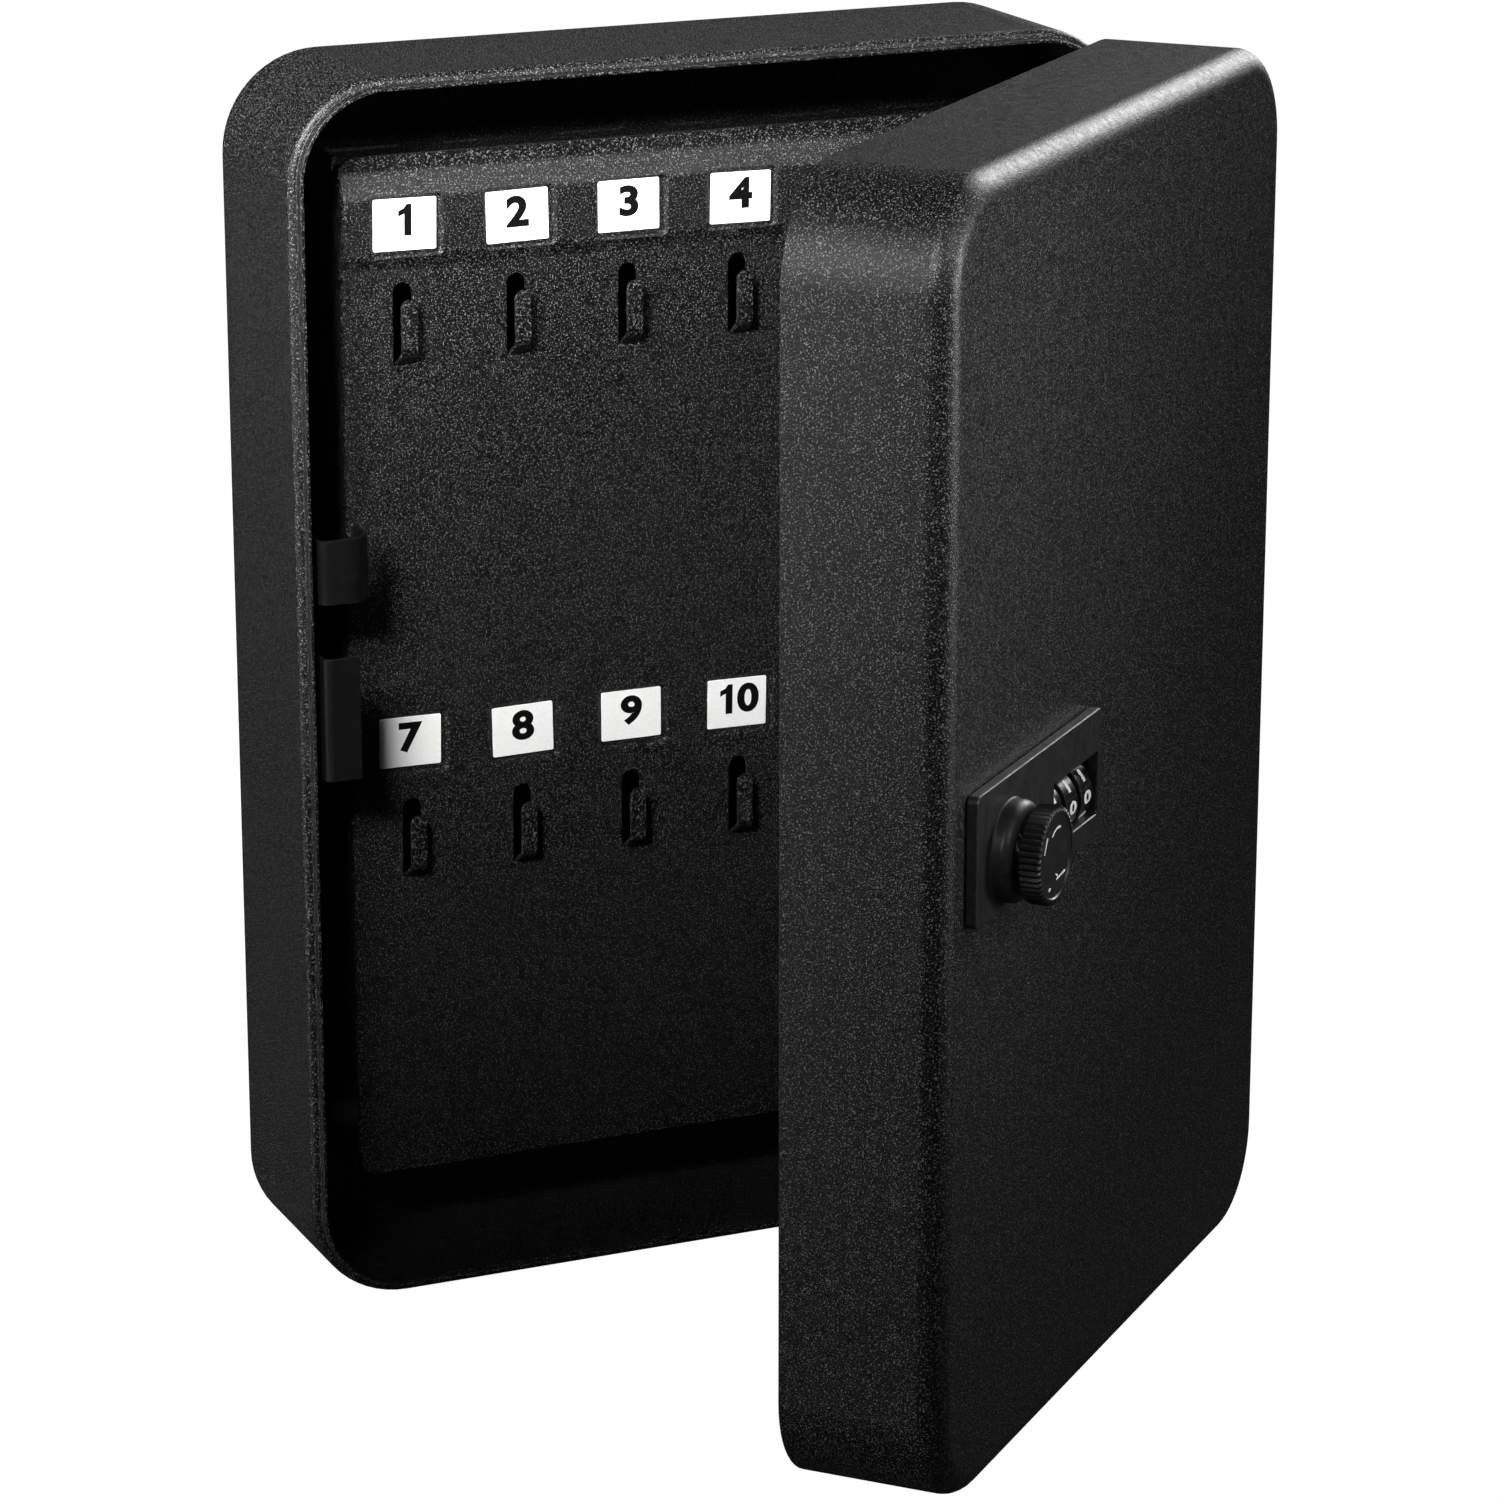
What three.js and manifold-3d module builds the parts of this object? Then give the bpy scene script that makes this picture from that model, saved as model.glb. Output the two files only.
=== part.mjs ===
// Wall-mounted key lock box: a pressed-steel case with a hook panel for twelve keys, and a door
// on two butt hinges that is held shut by a three-wheel combination cam lock.
// Millimetres, +Z up. The origin is the centre of the case's back face, the wall is at +Y and
// the door faces -Y. The door, and all that rides on it, is laid out as if shut and is then
// swung open about its hinge line by the group that holds it.

import * as THREE from 'three';
import { mergeVertices } from 'three/addons/utils/BufferGeometryUtils.js';
import Module from 'manifold-3d';

const wasm = await Module();
wasm.setup();

// Case and door pressings
const WIDTH = 180;
const HEIGHT = 250;
const CORNER = 20;
const SHEET = 1.2;
const CASE_DEPTH = 40.5;
const CASE_EDGE = 1.6;
const LIP_STEP = 1.7;
const LIP_LENGTH = 2;
const LIP_SHEET = 0.8;
const DOOR_GAP = 0.3;
const DOOR_DEPTH = 32.4;
const DOOR_EDGE = 5;
const OPEN_ANGLE = THREE.MathUtils.degToRad(42.3);

// Holes and shallow pockets in the case's back wall
const WALL_HOLE_RADIUS = 2.75;
const WALL_HOLE_X = 80;
const WALL_HOLE_Z = 100;
const BACK_POCKET = { pitch: 24.2, width: 16, low: 104, high: 117, depth: 0.4 };

// Hook panel, its labels and its lanced hooks
const COLUMNS = 6;
const ROWS = 2;
const COLUMN_PITCH = 24.1;
const ROW_PITCH = 106.5;
const PANEL = { halfWidth: 73.2, halfHeight: 106, front: -22, sheet: 1 };
const PANEL_FOOT = { reach: 9, height: 24, z: 80 };
const BEAD = { low: 84.5, lowFace: 86.3, highFace: 98, rise: 1.2, topSetback: 1 };
const LABEL = { width: 13.2, height: 10.4, thickness: 0.3, topRowZ: 92.4 };
const POCKET = { width: 14.6, height: 11.8, depth: 0.5, shiftX: 0.4, shiftZ: -0.4 };
const SLOT = { width: 4, length: 16.4, topRowTop: 80.5 };
const HOOK = { width: 3.5, sheet: 1, reach: 3.8, tipDrop: 2.8, rootDepth: 1.2, bendHeight: 3.2 };

// Strike and guide brackets on the case's left wall
const BRACKET_SHEET = 1;
const KEEPER = { low: -13.8, high: 11.4, front: -43, left: -85.9, right: -78.4 };
const STRAP = { low: 22, high: 35.1, front: -42, left: -85.9, right: -74.5 };

// Hinges
const HINGE = { x: 93.4, y: -41.8, z: 76, length: 32, barrel: 2.6, pin: 1.2, bore: 1.5, leaf: 1 };
const KNUCKLE_GAP = 0.4;
const LEAF_DEPTH = 14;
const NOTCH_CLEARANCE = 0.8;

// Combination lock
const LOCK_Z = -0.2;
const FACE_Y = -(CASE_DEPTH + DOOR_GAP + DOOR_DEPTH);
const PLATE = { left: -80.9, right: -16.7, z: 1.5, height: 25, thickness: 2, edge: 0.6, gap: 0.3 };
const PLATE_FRONT = FACE_Y - PLATE.gap - PLATE.thickness;
const KNOB_X = -65;
const BOSS = { radius: 9.6, height: 3.8, round: 2.2 };
const KNOB = { radius: 9.2, depth: 4.3, gap: 1.2, ridges: 48, ridgeDepth: 0.45, bore: 3.4, socket: 2.9 };
const SPINDLE_RADIUS = 3;
const SPINDLE_FLAT = 2.2;
const WHEEL = { radius: 7, width: 6.2, pitch: 7.7, firstX: -37.8, bore: 1.8, digits: 10, groove: 0.5 };
const DIAL_Z = -2.3;
const DIAL_Y = PLATE_FRONT + 0.6 + WHEEL.radius;
const AXLE_RADIUS = 1.5;
const WINDOW = { left: -41.9, right: -18.7, low: -6.5, high: 5.6 };
const HOUSING = { left: -77, right: -17.9, low: -10.4, high: 11.5, front: FACE_Y + 0.3, back: -54 };
const CUT_OUT_GAP = 0.3;
const BAY = { left: -42.4, right: -18.8, low: -9.6, high: 5.8, back: -59.6 };
const COVER_THICKNESS = 1.5;
const FENCE = { width: 12, height: 5, depth: 4, nose: 2, noseGap: 1 };
const RESET = { x: -28, slotLength: 9, slotHeight: 3.4, length: 5, height: 2.8, stem: 5.8 };
const SCREW = { radius: 1.4, head: 2.6, headHeight: 1.4, length: 9, z: 8.4, xs: [-48, -74] };
const CAM = { sheet: 1.2, width: 11, length: 19.5, hubY: -49.6, tipY: -40.9, tail: 7 };
const NUT = { radius: 5, height: 3 };
const WASHER = { radius: 5.4, height: 0.8 };

const ROUND_SEGMENTS = 24;
const CORNER_SEGMENTS = 5;
const EDGE_SEGMENTS = 3;
const RIGHT_ANGLE = Math.PI / 2;

function material(color, roughness, metalness) {
  return new THREE.MeshStandardMaterial({ color, roughness, metalness });
}

const blackCoat = () => material(0x262626, 0.62, 0.1);
const blackPlastic = () => material(0x1b1b1c, 0.45, 0);
const whitePaper = () => material(0xf2f2ef, 0.85, 0);
const zinc = () => material(0xa8abad, 0.35, 0.9);

// ---- joining and cutting ----

function solidOf(geometry) {
  const bare = geometry.clone();
  bare.deleteAttribute('normal');
  bare.deleteAttribute('uv');
  const merged = mergeVertices(bare, 1e-4);
  return new wasm.Manifold(new wasm.Mesh({
    numProp: 3,
    vertProperties: new Float32Array(merged.attributes.position.array),
    triVerts: new Uint32Array(merged.index.array),
  }));
}

function shaped(base, { add = [], cut = [], keep = [] }) {
  let solid = solidOf(base);
  for (const piece of add) solid = solid.add(solidOf(piece));
  for (const piece of cut) solid = solid.subtract(solidOf(piece));
  for (const piece of keep) solid = solid.intersect(solidOf(piece));
  const { vertProperties, triVerts } = solid.getMesh();
  const geometry = new THREE.BufferGeometry();
  geometry.setAttribute('position', new THREE.BufferAttribute(vertProperties, 3));
  geometry.setIndex(new THREE.BufferAttribute(triVerts, 1));
  return geometry;
}

// ---- basic forms ----

function block([x0, x1], [y0, y1], [z0, z1]) {
  const geometry = new THREE.BoxGeometry(x1 - x0, y1 - y0, z1 - z0);
  return geometry.translate((x0 + x1) / 2, (y0 + y1) / 2, (z0 + z1) / 2);
}

function roundedRect(width, height, radius) {
  const x = width / 2 - radius;
  const z = height / 2 - radius;
  const shape = new THREE.Shape();
  shape.absarc(x, z, radius, 0, RIGHT_ANGLE);
  shape.absarc(-x, z, radius, RIGHT_ANGLE, 2 * RIGHT_ANGLE);
  shape.absarc(-x, -z, radius, 2 * RIGHT_ANGLE, 3 * RIGHT_ANGLE);
  shape.absarc(x, -z, radius, 3 * RIGHT_ANGLE, 4 * RIGHT_ANGLE);
  return shape;
}

// A front-view (x, z) shape made solid from yBack forward to yFront, with rounded rims.
function frontal(shape, yBack, yFront, edge = 0) {
  const geometry = new THREE.ExtrudeGeometry(shape, {
    depth: yBack - yFront - 2 * edge,
    bevelEnabled: edge > 0,
    bevelThickness: edge,
    bevelSize: edge,
    bevelOffset: -edge,
    bevelSegments: EDGE_SEGMENTS,
    curveSegments: CORNER_SEGMENTS,
  });
  return geometry.rotateX(RIGHT_ANGLE).translate(0, yBack - edge, 0);
}

// A plan-view (x, y) shape made solid from zLow up to zHigh.
function upright(shape, zLow, zHigh) {
  const options = { depth: zHigh - zLow, bevelEnabled: false, curveSegments: CORNER_SEGMENTS };
  return new THREE.ExtrudeGeometry(shape, options).translate(0, 0, zLow);
}

// A side-view (y, z) shape made solid from xLow to xHigh.
function sideways(shape, xLow, xHigh) {
  const options = { depth: xHigh - xLow, bevelEnabled: false, curveSegments: CORNER_SEGMENTS };
  const turn = new THREE.Matrix4().makeBasis(
    new THREE.Vector3(0, 1, 0),
    new THREE.Vector3(0, 0, 1),
    new THREE.Vector3(1, 0, 0),
  );
  return new THREE.ExtrudeGeometry(shape, options).applyMatrix4(turn).translate(xLow, 0, 0);
}

// Round bars along each axis
function barY(radius, yLow, yHigh, x, z, segments = ROUND_SEGMENTS) {
  const geometry = new THREE.CylinderGeometry(radius, radius, yHigh - yLow, segments);
  return geometry.translate(x, (yLow + yHigh) / 2, z);
}

function barX(radius, xLow, xHigh, y, z) {
  const geometry = new THREE.CylinderGeometry(radius, radius, xHigh - xLow, ROUND_SEGMENTS);
  return geometry.rotateZ(RIGHT_ANGLE).translate((xLow + xHigh) / 2, y, z);
}

function barZ(radius, zLow, zHigh, x, y) {
  const geometry = new THREE.CylinderGeometry(radius, radius, zHigh - zLow, ROUND_SEGMENTS);
  return geometry.rotateX(RIGHT_ANGLE).translate(x, y, (zLow + zHigh) / 2);
}

// The outline of a bent sheet: a line of points thickened evenly, with mitred bends.
function strip(points, thickness) {
  const path = points.map(([u, v]) => new THREE.Vector2(u, v));
  const offset = (sign) => path.map((point, i) => {
    const arriving = point.clone().sub(path[i - 1] ?? point).normalize();
    const leaving = (path[i + 1] ?? point).clone().sub(point).normalize();
    const tangent = arriving.clone().add(leaving).normalize();
    const miter = Math.max(tangent.dot(arriving), tangent.dot(leaving));
    const reach = sign * thickness / 2 / miter;
    return new THREE.Vector2(point.x - tangent.y * reach, point.y + tangent.x * reach);
  });
  return new THREE.Shape([...offset(1), ...offset(-1).reverse()]);
}

// Points along a quarter bend between two directions, for strip()
function bend(centreU, centreV, radius, from, to, steps = 4) {
  return Array.from({ length: steps + 1 }, (_, i) => {
    const angle = from + (to - from) * i / steps;
    return [centreU + radius * Math.cos(angle), centreV + radius * Math.sin(angle)];
  });
}

function piece(parent, name, geometry, finish) {
  const mesh = new THREE.Mesh(geometry, finish);
  mesh.name = name;
  parent.add(mesh);
  return mesh;
}

const columnX = (column) => (column - (COLUMNS - 1) / 2) * COLUMN_PITCH;

// ---- case ----

function hingeNotch(z, yFront, yBack) {
  const half = HINGE.length / 2 + NOTCH_CLEARANCE;
  return block([WIDTH / 2 - 6, WIDTH / 2 + 6], [yFront, yBack], [z - half, z + half]);
}

function caseShell() {
  const inset = (amount, yBack, yFront, edge) => frontal(
    roundedRect(WIDTH - 2 * amount, HEIGHT - 2 * amount, CORNER - amount), yBack, yFront, edge);
  const lipFront = -CASE_DEPTH - LIP_LENGTH;
  const body = inset(0, 0, -CASE_DEPTH, CASE_EDGE);
  const lip = inset(LIP_STEP, -CASE_DEPTH + SHEET, lipFront);
  const hollow = inset(SHEET, -SHEET, SHEET - CASE_DEPTH, CASE_EDGE - SHEET / 2);
  const mouth = inset(LIP_STEP + LIP_SHEET, 2 * SHEET - CASE_DEPTH, lipFront - 1);
  const pockets = Array.from({ length: COLUMNS }, (_, column) => {
    const x = (column - (COLUMNS - 1) / 2) * BACK_POCKET.pitch;
    const half = BACK_POCKET.width / 2;
    const ys = [-SHEET - 1, BACK_POCKET.depth - SHEET];
    return block([x - half, x + half], ys, [BACK_POCKET.low, BACK_POCKET.high]);
  });
  const wallHoles = [-1, 1].flatMap((side) => [-1, 1].map((end) => (
    barY(WALL_HOLE_RADIUS, -SHEET - 1, 1, side * WALL_HOLE_X, end * WALL_HOLE_Z))));
  const notches = [-1, 1].map((end) => (
    hingeNotch(end * HINGE.z, lipFront - 1, HINGE.y + HINGE.barrel + 1)));
  return shaped(body, { add: [lip], cut: [hollow, mouth, ...pockets, ...wallHoles, ...notches] });
}

// ---- hook panel ----

// The panel's front surface in side view, from bottom to top, moved back by a distance
function panelFace(back) {
  const flat = PANEL.front + back;
  const raised = flat - BEAD.rise;
  return [
    [flat, -PANEL.halfHeight],
    [flat, BEAD.low],
    [raised, BEAD.lowFace],
    [raised, BEAD.highFace],
    [flat + BEAD.topSetback, PANEL.halfHeight],
  ];
}

function panelBlock(back, rear, halfWidth, overrun) {
  const face = panelFace(back);
  const [bottom, top] = [face[0], face[face.length - 1]];
  const outline = [[rear, bottom[1] - overrun], [bottom[0], bottom[1] - overrun], ...face.slice(1, -1)];
  outline.push([top[0], top[1] + overrun], [rear, top[1] + overrun]);
  const shape = new THREE.Shape(outline.map(([y, z]) => new THREE.Vector2(y, z)));
  return sideways(shape, -halfWidth, halfWidth);
}

function hookSlot(x, top) {
  const half = SLOT.width / 2;
  const shape = new THREE.Shape();
  shape.moveTo(x - half, top - SLOT.length);
  shape.lineTo(x + half, top - SLOT.length);
  shape.lineTo(x + half, top - half);
  shape.absarc(x, top - half, half, 0, Math.PI);
  return frontal(shape, PANEL.front + 2 * PANEL.sheet, PANEL.front - PANEL.sheet);
}

// A hook: the tongue cut from the slot, bent forward at its root and then up, with a round tip
function hook(x, slotTop) {
  const sheetY = PANEL.front + PANEL.sheet / 2;
  const root = slotTop - SLOT.length;
  const tip = slotTop - HOOK.tipDrop;
  const profile = strip([
    [sheetY, root - HOOK.rootDepth],
    [sheetY, root + 0.2],
    [sheetY - HOOK.reach * 0.25, root + 0.9],
    [sheetY - HOOK.reach * 0.8, root + HOOK.bendHeight - 1],
    [sheetY - HOOK.reach, root + HOOK.bendHeight],
    [sheetY - HOOK.reach, tip],
  ], HOOK.sheet);
  const half = HOOK.width / 2;
  const front = new THREE.Shape();
  front.moveTo(x - half, root - 2 * HOOK.rootDepth);
  front.lineTo(x + half, root - 2 * HOOK.rootDepth);
  front.lineTo(x + half, tip - half);
  front.absarc(x, tip - half, half, 0, Math.PI);
  const outline = frontal(front, PANEL.front + 3, PANEL.front - 2 * HOOK.reach);
  return shaped(sideways(profile, x - half - 1, x + half + 1), { keep: [outline] });
}

function labelPocket(x, z, floor) {
  const [cx, cz] = [x + POCKET.shiftX, z + POCKET.shiftZ];
  const [halfX, halfZ] = [POCKET.width / 2, POCKET.height / 2];
  return block([cx - halfX, cx + halfX], [floor - 3, floor], [cz - halfZ, cz + halfZ]);
}

const rowFront = (row) => (row === 0 ? PANEL.front - BEAD.rise : PANEL.front);
const labelZ = (row) => LABEL.topRowZ - row * ROW_PITCH;
const slotTop = (row) => SLOT.topRowTop - row * ROW_PITCH;

function hookPanel() {
  const rear = -SHEET - 0.3;
  const outside = panelBlock(0, rear, PANEL.halfWidth, 0);
  const inside = panelBlock(PANEL.sheet, 5, PANEL.halfWidth - PANEL.sheet, 5);
  const feet = [-1, 1].flatMap((side) => [-1, 1].map((end) => {
    const outer = side * (PANEL.halfWidth - 0.5);
    const inner = side * (PANEL.halfWidth - PANEL_FOOT.reach);
    const xs = [Math.min(outer, inner), Math.max(outer, inner)];
    const low = end * PANEL_FOOT.z - PANEL_FOOT.height / 2;
    return block(xs, [rear - PANEL.sheet, rear], [low, low + PANEL_FOOT.height]);
  }));
  const slots = [];
  const hooks = [];
  const pockets = [];
  for (let row = 0; row < ROWS; row += 1) {
    for (let column = 0; column < COLUMNS; column += 1) {
      const x = columnX(column);
      slots.push(hookSlot(x, slotTop(row)));
      hooks.push(hook(x, slotTop(row)));
      pockets.push(labelPocket(x, labelZ(row), rowFront(row) + POCKET.depth));
    }
  }
  const tray = shaped(outside, { cut: [inside] });
  const pierced = shaped(tray, { add: feet, cut: [...slots, ...pockets] });
  return shaped(pierced, { add: hooks });
}

function numberLabel(row, column) {
  const [x, z] = [columnX(column), labelZ(row)];
  const back = rowFront(row) + POCKET.depth - 0.05;
  return block(
    [x - LABEL.width / 2, x + LABEL.width / 2],
    [back - LABEL.thickness, back],
    [z - LABEL.height / 2, z + LABEL.height / 2],
  );
}

// ---- brackets on the left wall ----

// Both brackets start flat on the side wall and step round the case's lip.
function wallLeg(left) {
  const wall = -WIDTH / 2 + SHEET + 0.3 + BRACKET_SHEET / 2;
  return [[wall, -16], [wall, -34], [left + BRACKET_SHEET / 2, -37.5]];
}

function latchKeeper() {
  const y = KEEPER.front + BRACKET_SHEET / 2;
  const x = KEEPER.left + BRACKET_SHEET / 2;
  const path = [...wallLeg(KEEPER.left), [x, y + 0.8], [x + 0.8, y], [KEEPER.right, y]];
  return upright(strip(path, BRACKET_SHEET), KEEPER.low, KEEPER.high);
}

function guideStrap() {
  const y = STRAP.front + BRACKET_SHEET / 2;
  const x = STRAP.left + BRACKET_SHEET / 2;
  const radius = 6;
  const curl = bend(STRAP.right - radius, y + radius, radius, -RIGHT_ANGLE, 0);
  const end = [STRAP.right - 0.4, y + radius + 3.4];
  const path = [...wallLeg(STRAP.left), [x, y + 0.8], [x + 0.8, y], ...curl, end];
  return upright(strip(path, BRACKET_SHEET), STRAP.low, STRAP.high);
}

// ---- hinges ----

// A leaf: a plate on the inside of the side wall, and a web out to its knuckles on the barrel.
// side is 1 for the case's leaf, behind the hinge line, and -1 for the door's, in front of it.
function hingeLeaf(z, side, knuckles) {
  const plateX = WIDTH / 2 - SHEET - 0.3 - HINGE.leaf / 2;
  const webY = HINGE.y + side * (HINGE.barrel - HINGE.leaf / 2);
  const webEnd = HINGE.x - HINGE.barrel - 0.6;
  const path = [[plateX, webY + side * LEAF_DEPTH], [plateX, webY], [webEnd, webY]];
  const plate = upright(strip(path, HINGE.leaf), z - HINGE.length / 2, z + HINGE.length / 2);
  const webs = [];
  const bores = [];
  for (const [low, high] of knuckles) {
    const ys = [webY - HINGE.leaf / 2, webY + HINGE.leaf / 2];
    webs.push(block([HINGE.x - HINGE.barrel - 1.2, HINGE.x], ys, [z + low, z + high]));
    webs.push(barZ(HINGE.barrel, z + low, z + high, HINGE.x, HINGE.y));
    bores.push(barZ(HINGE.bore, z + low - 1, z + high + 1, HINGE.x, HINGE.y));
  }
  return shaped(plate, { add: webs, cut: bores });
}

function hingePin(z) {
  const half = HINGE.length / 2;
  const shaft = barZ(HINGE.pin, z - half - 0.8, z + half + 0.5, HINGE.x, HINGE.y);
  const head = barZ(HINGE.barrel - 0.2, z + half + 0.3, z + half + 1.3, HINGE.x, HINGE.y);
  return shaped(shaft, { add: [head] });
}

function addHinge(caseGroup, doorGroup, name, z) {
  const half = HINGE.length / 2;
  const third = HINGE.length / 6;
  const outerKnuckles = [[-half, -third], [third, half]];
  const innerKnuckle = [[KNUCKLE_GAP - third, third - KNUCKLE_GAP]];
  piece(caseGroup, `hinge_leaf_case_${name}`, hingeLeaf(z, 1, outerKnuckles), blackCoat());
  piece(doorGroup, `hinge_leaf_door_${name}`, hingeLeaf(z, -1, innerKnuckle), blackCoat());
  piece(caseGroup, `hinge_pin_${name}`, hingePin(z), zinc());
}

// ---- door ----

function doorShell() {
  const rim = -CASE_DEPTH - DOOR_GAP;
  const overrun = 12;
  const body = frontal(roundedRect(WIDTH, HEIGHT, CORNER), rim + overrun, FACE_Y, DOOR_EDGE);
  const beyondRim = block([-WIDTH, WIDTH], [rim, rim + 2 * overrun], [-HEIGHT, HEIGHT]);
  const inside = roundedRect(WIDTH - 2 * SHEET, HEIGHT - 2 * SHEET, CORNER - SHEET);
  const hollow = frontal(inside, rim + overrun, FACE_Y + SHEET, DOOR_EDGE - SHEET);
  const cutOut = block(
    [HOUSING.left - CUT_OUT_GAP, HOUSING.right + CUT_OUT_GAP],
    [FACE_Y - 1, FACE_Y + 3],
    [HOUSING.low - CUT_OUT_GAP, HOUSING.high + CUT_OUT_GAP],
  );
  const notches = [-1, 1].map((end) => hingeNotch(end * HINGE.z, HINGE.y - HINGE.barrel - 1, rim + 1));
  return shaped(body, { cut: [beyondRim, hollow, cutOut, ...notches] });
}

// ---- combination lock ----

// A body of revolution about the knob's axis; points are [radius, distance in front of the plate].
function turnedAtKnob(points) {
  const profile = points.map(([radius, ahead]) => new THREE.Vector2(radius, -ahead));
  return new THREE.LatheGeometry(profile.reverse(), 32).translate(KNOB_X, PLATE_FRONT, LOCK_Z);
}

function lockFaceplate() {
  const outline = roundedRect(PLATE.right - PLATE.left, PLATE.height, 1.5);
  const plate = frontal(outline, PLATE_FRONT + PLATE.thickness, PLATE_FRONT, PLATE.edge);
  plate.translate((PLATE.left + PLATE.right) / 2, 0, PLATE.z);
  const shoulder = bend(BOSS.radius - BOSS.round, BOSS.height - BOSS.round, BOSS.round, 0, RIGHT_ANGLE);
  const boss = turnedAtKnob([[0, -0.5], [BOSS.radius, -0.5], ...shoulder, [0, BOSS.height]]);
  const window = block(
    [WINDOW.left, WINDOW.right],
    [PLATE_FRONT - 1, FACE_Y],
    [WINDOW.low, WINDOW.high],
  );
  const bore = barY(KNOB.bore, PLATE_FRONT - BOSS.height - 1, FACE_Y, KNOB_X, LOCK_Z);
  return shaped(plate, { add: [boss], cut: [window, bore] });
}

function lockHousing() {
  const fenceZ = [LOCK_Z - FENCE.height / 2 - 0.4, LOCK_Z + FENCE.height / 2 + 0.4];
  const box = block(
    [HOUSING.left, HOUSING.right], [HOUSING.front, HOUSING.back], [HOUSING.low, HOUSING.high]);
  const bay = block([BAY.left, BAY.right], [HOUSING.front - 1, BAY.back], [BAY.low, BAY.high]);
  const axleHole = barX(WHEEL.bore, BAY.left - 1.8, BAY.right + 0.6, DIAL_Y, DIAL_Z);
  const spindleHole = barY(KNOB.bore + 0.4, HOUSING.front - 1, HOUSING.back + 1, KNOB_X, LOCK_Z);
  const fenceChannel = block([KNOB_X, -44.5], [HOUSING.back - FENCE.depth - 0.8, HOUSING.back + 1], fenceZ);
  const resetWell = block(
    [RESET.x - RESET.slotLength / 2 - 1, RESET.x + RESET.slotLength / 2 + 1],
    [HOUSING.back - 2.6, HOUSING.back + 1],
    [LOCK_Z - RESET.slotHeight / 2 - 1, LOCK_Z + RESET.slotHeight / 2 + 1],
  );
  const screwHoles = SCREW.xs.map((x) => (
    barY(SCREW.radius + 0.3, HOUSING.back - SCREW.length, HOUSING.back + 1, x, SCREW.z, 12)));
  return shaped(box, { cut: [bay, axleHole, spindleHole, fenceChannel, resetWell, ...screwHoles] });
}

function lockBackCover() {
  const low = HOUSING.back + 0.3;
  const high = low + COVER_THICKNESS;
  const plate = block([HOUSING.left, HOUSING.right], [low, high], [HOUSING.low, HOUSING.high]);
  const spindleHole = barY(KNOB.bore + 0.4, low - 1, high + 1, KNOB_X, LOCK_Z);
  const resetSlot = block(
    [RESET.x - RESET.slotLength / 2, RESET.x + RESET.slotLength / 2],
    [low - 1, high + 1],
    [LOCK_Z - RESET.slotHeight / 2, LOCK_Z + RESET.slotHeight / 2],
  );
  const screwHoles = SCREW.xs.map((x) => barY(SCREW.radius + 0.3, low - 1, high + 1, x, SCREW.z, 12));
  return shaped(plate, { cut: [spindleHole, resetSlot, ...screwHoles] });
}

// A number wheel: ten faces with a narrow groove between each
function dialWheel(index) {
  const x = WHEEL.firstX + index * WHEEL.pitch;
  const step = 2 * Math.PI / WHEEL.digits;
  const half = WHEEL.groove / WHEEL.radius;
  const outline = new THREE.Shape();
  for (let digit = 0; digit < WHEEL.digits; digit += 1) {
    const start = digit * step + half;
    outline.absarc(0, 0, WHEEL.radius, start, start + step - 2 * half);
    const groove = (digit + 1) * step;
    const depth = WHEEL.radius - WHEEL.groove;
    outline.lineTo(depth * Math.cos(groove), depth * Math.sin(groove));
  }
  const options = { depth: WHEEL.width, bevelEnabled: false, curveSegments: 2 };
  const wheel = new THREE.ExtrudeGeometry(outline, options);
  wheel.rotateY(RIGHT_ANGLE).translate(x - WHEEL.width / 2, DIAL_Y, DIAL_Z);
  const bore = barX(WHEEL.bore, x - WHEEL.width, x + WHEEL.width, DIAL_Y, DIAL_Z);
  return shaped(wheel, { cut: [bore] });
}

function dialAxle() {
  return barX(AXLE_RADIUS, BAY.left - 1.5, BAY.right + 0.3, DIAL_Y, DIAL_Z);
}

// A leaf spring with one finger behind each wheel
function detentSpring() {
  const ys = [BAY.back - 0.6, BAY.back - 0.3];
  const spine = block([BAY.left + 0.4, BAY.right - 0.4], ys, [DIAL_Z - 7, DIAL_Z - 4.6]);
  const fingers = [0, 1, 2].map((index) => {
    const x = WHEEL.firstX + index * WHEEL.pitch;
    return block([x - 1.6, x + 1.6], ys, [DIAL_Z - 5, DIAL_Z + 4]);
  });
  return shaped(spine, { add: fingers });
}

// The fence: a bar that the spindle's flat lets in and its round pushes back
function fenceBar() {
  const nose = KNOB_X + SPINDLE_FLAT + FENCE.noseGap;
  const ys = [HOUSING.back - FENCE.depth - 0.3, HOUSING.back - 0.3];
  const centred = (height) => [LOCK_Z - height / 2, LOCK_Z + height / 2];
  const body = block([nose + 3, nose + 3 + FENCE.width], ys, centred(FENCE.height));
  const tip = block([nose, nose + 4], ys, centred(FENCE.nose));
  return shaped(body, { add: [tip] });
}

function knob() {
  const points = [];
  const inner = KNOB.radius - KNOB.ridgeDepth;
  const step = 2 * Math.PI / KNOB.ridges;
  for (let ridge = 0; ridge < KNOB.ridges; ridge += 1) {
    const crest = ridge * step;
    const root = crest + step / 2;
    points.push(new THREE.Vector2(KNOB.radius * Math.cos(crest), KNOB.radius * Math.sin(crest)));
    points.push(new THREE.Vector2(inner * Math.cos(root), inner * Math.sin(root)));
  }
  const back = PLATE_FRONT - BOSS.height - KNOB.gap;
  const grip = frontal(new THREE.Shape(points), back, back - KNOB.depth).translate(KNOB_X, 0, LOCK_Z);
  const socket = barY(KNOB.bore, back - KNOB.socket, back + 1, KNOB_X, LOCK_Z);
  return shaped(grip, { cut: [socket] });
}

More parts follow.
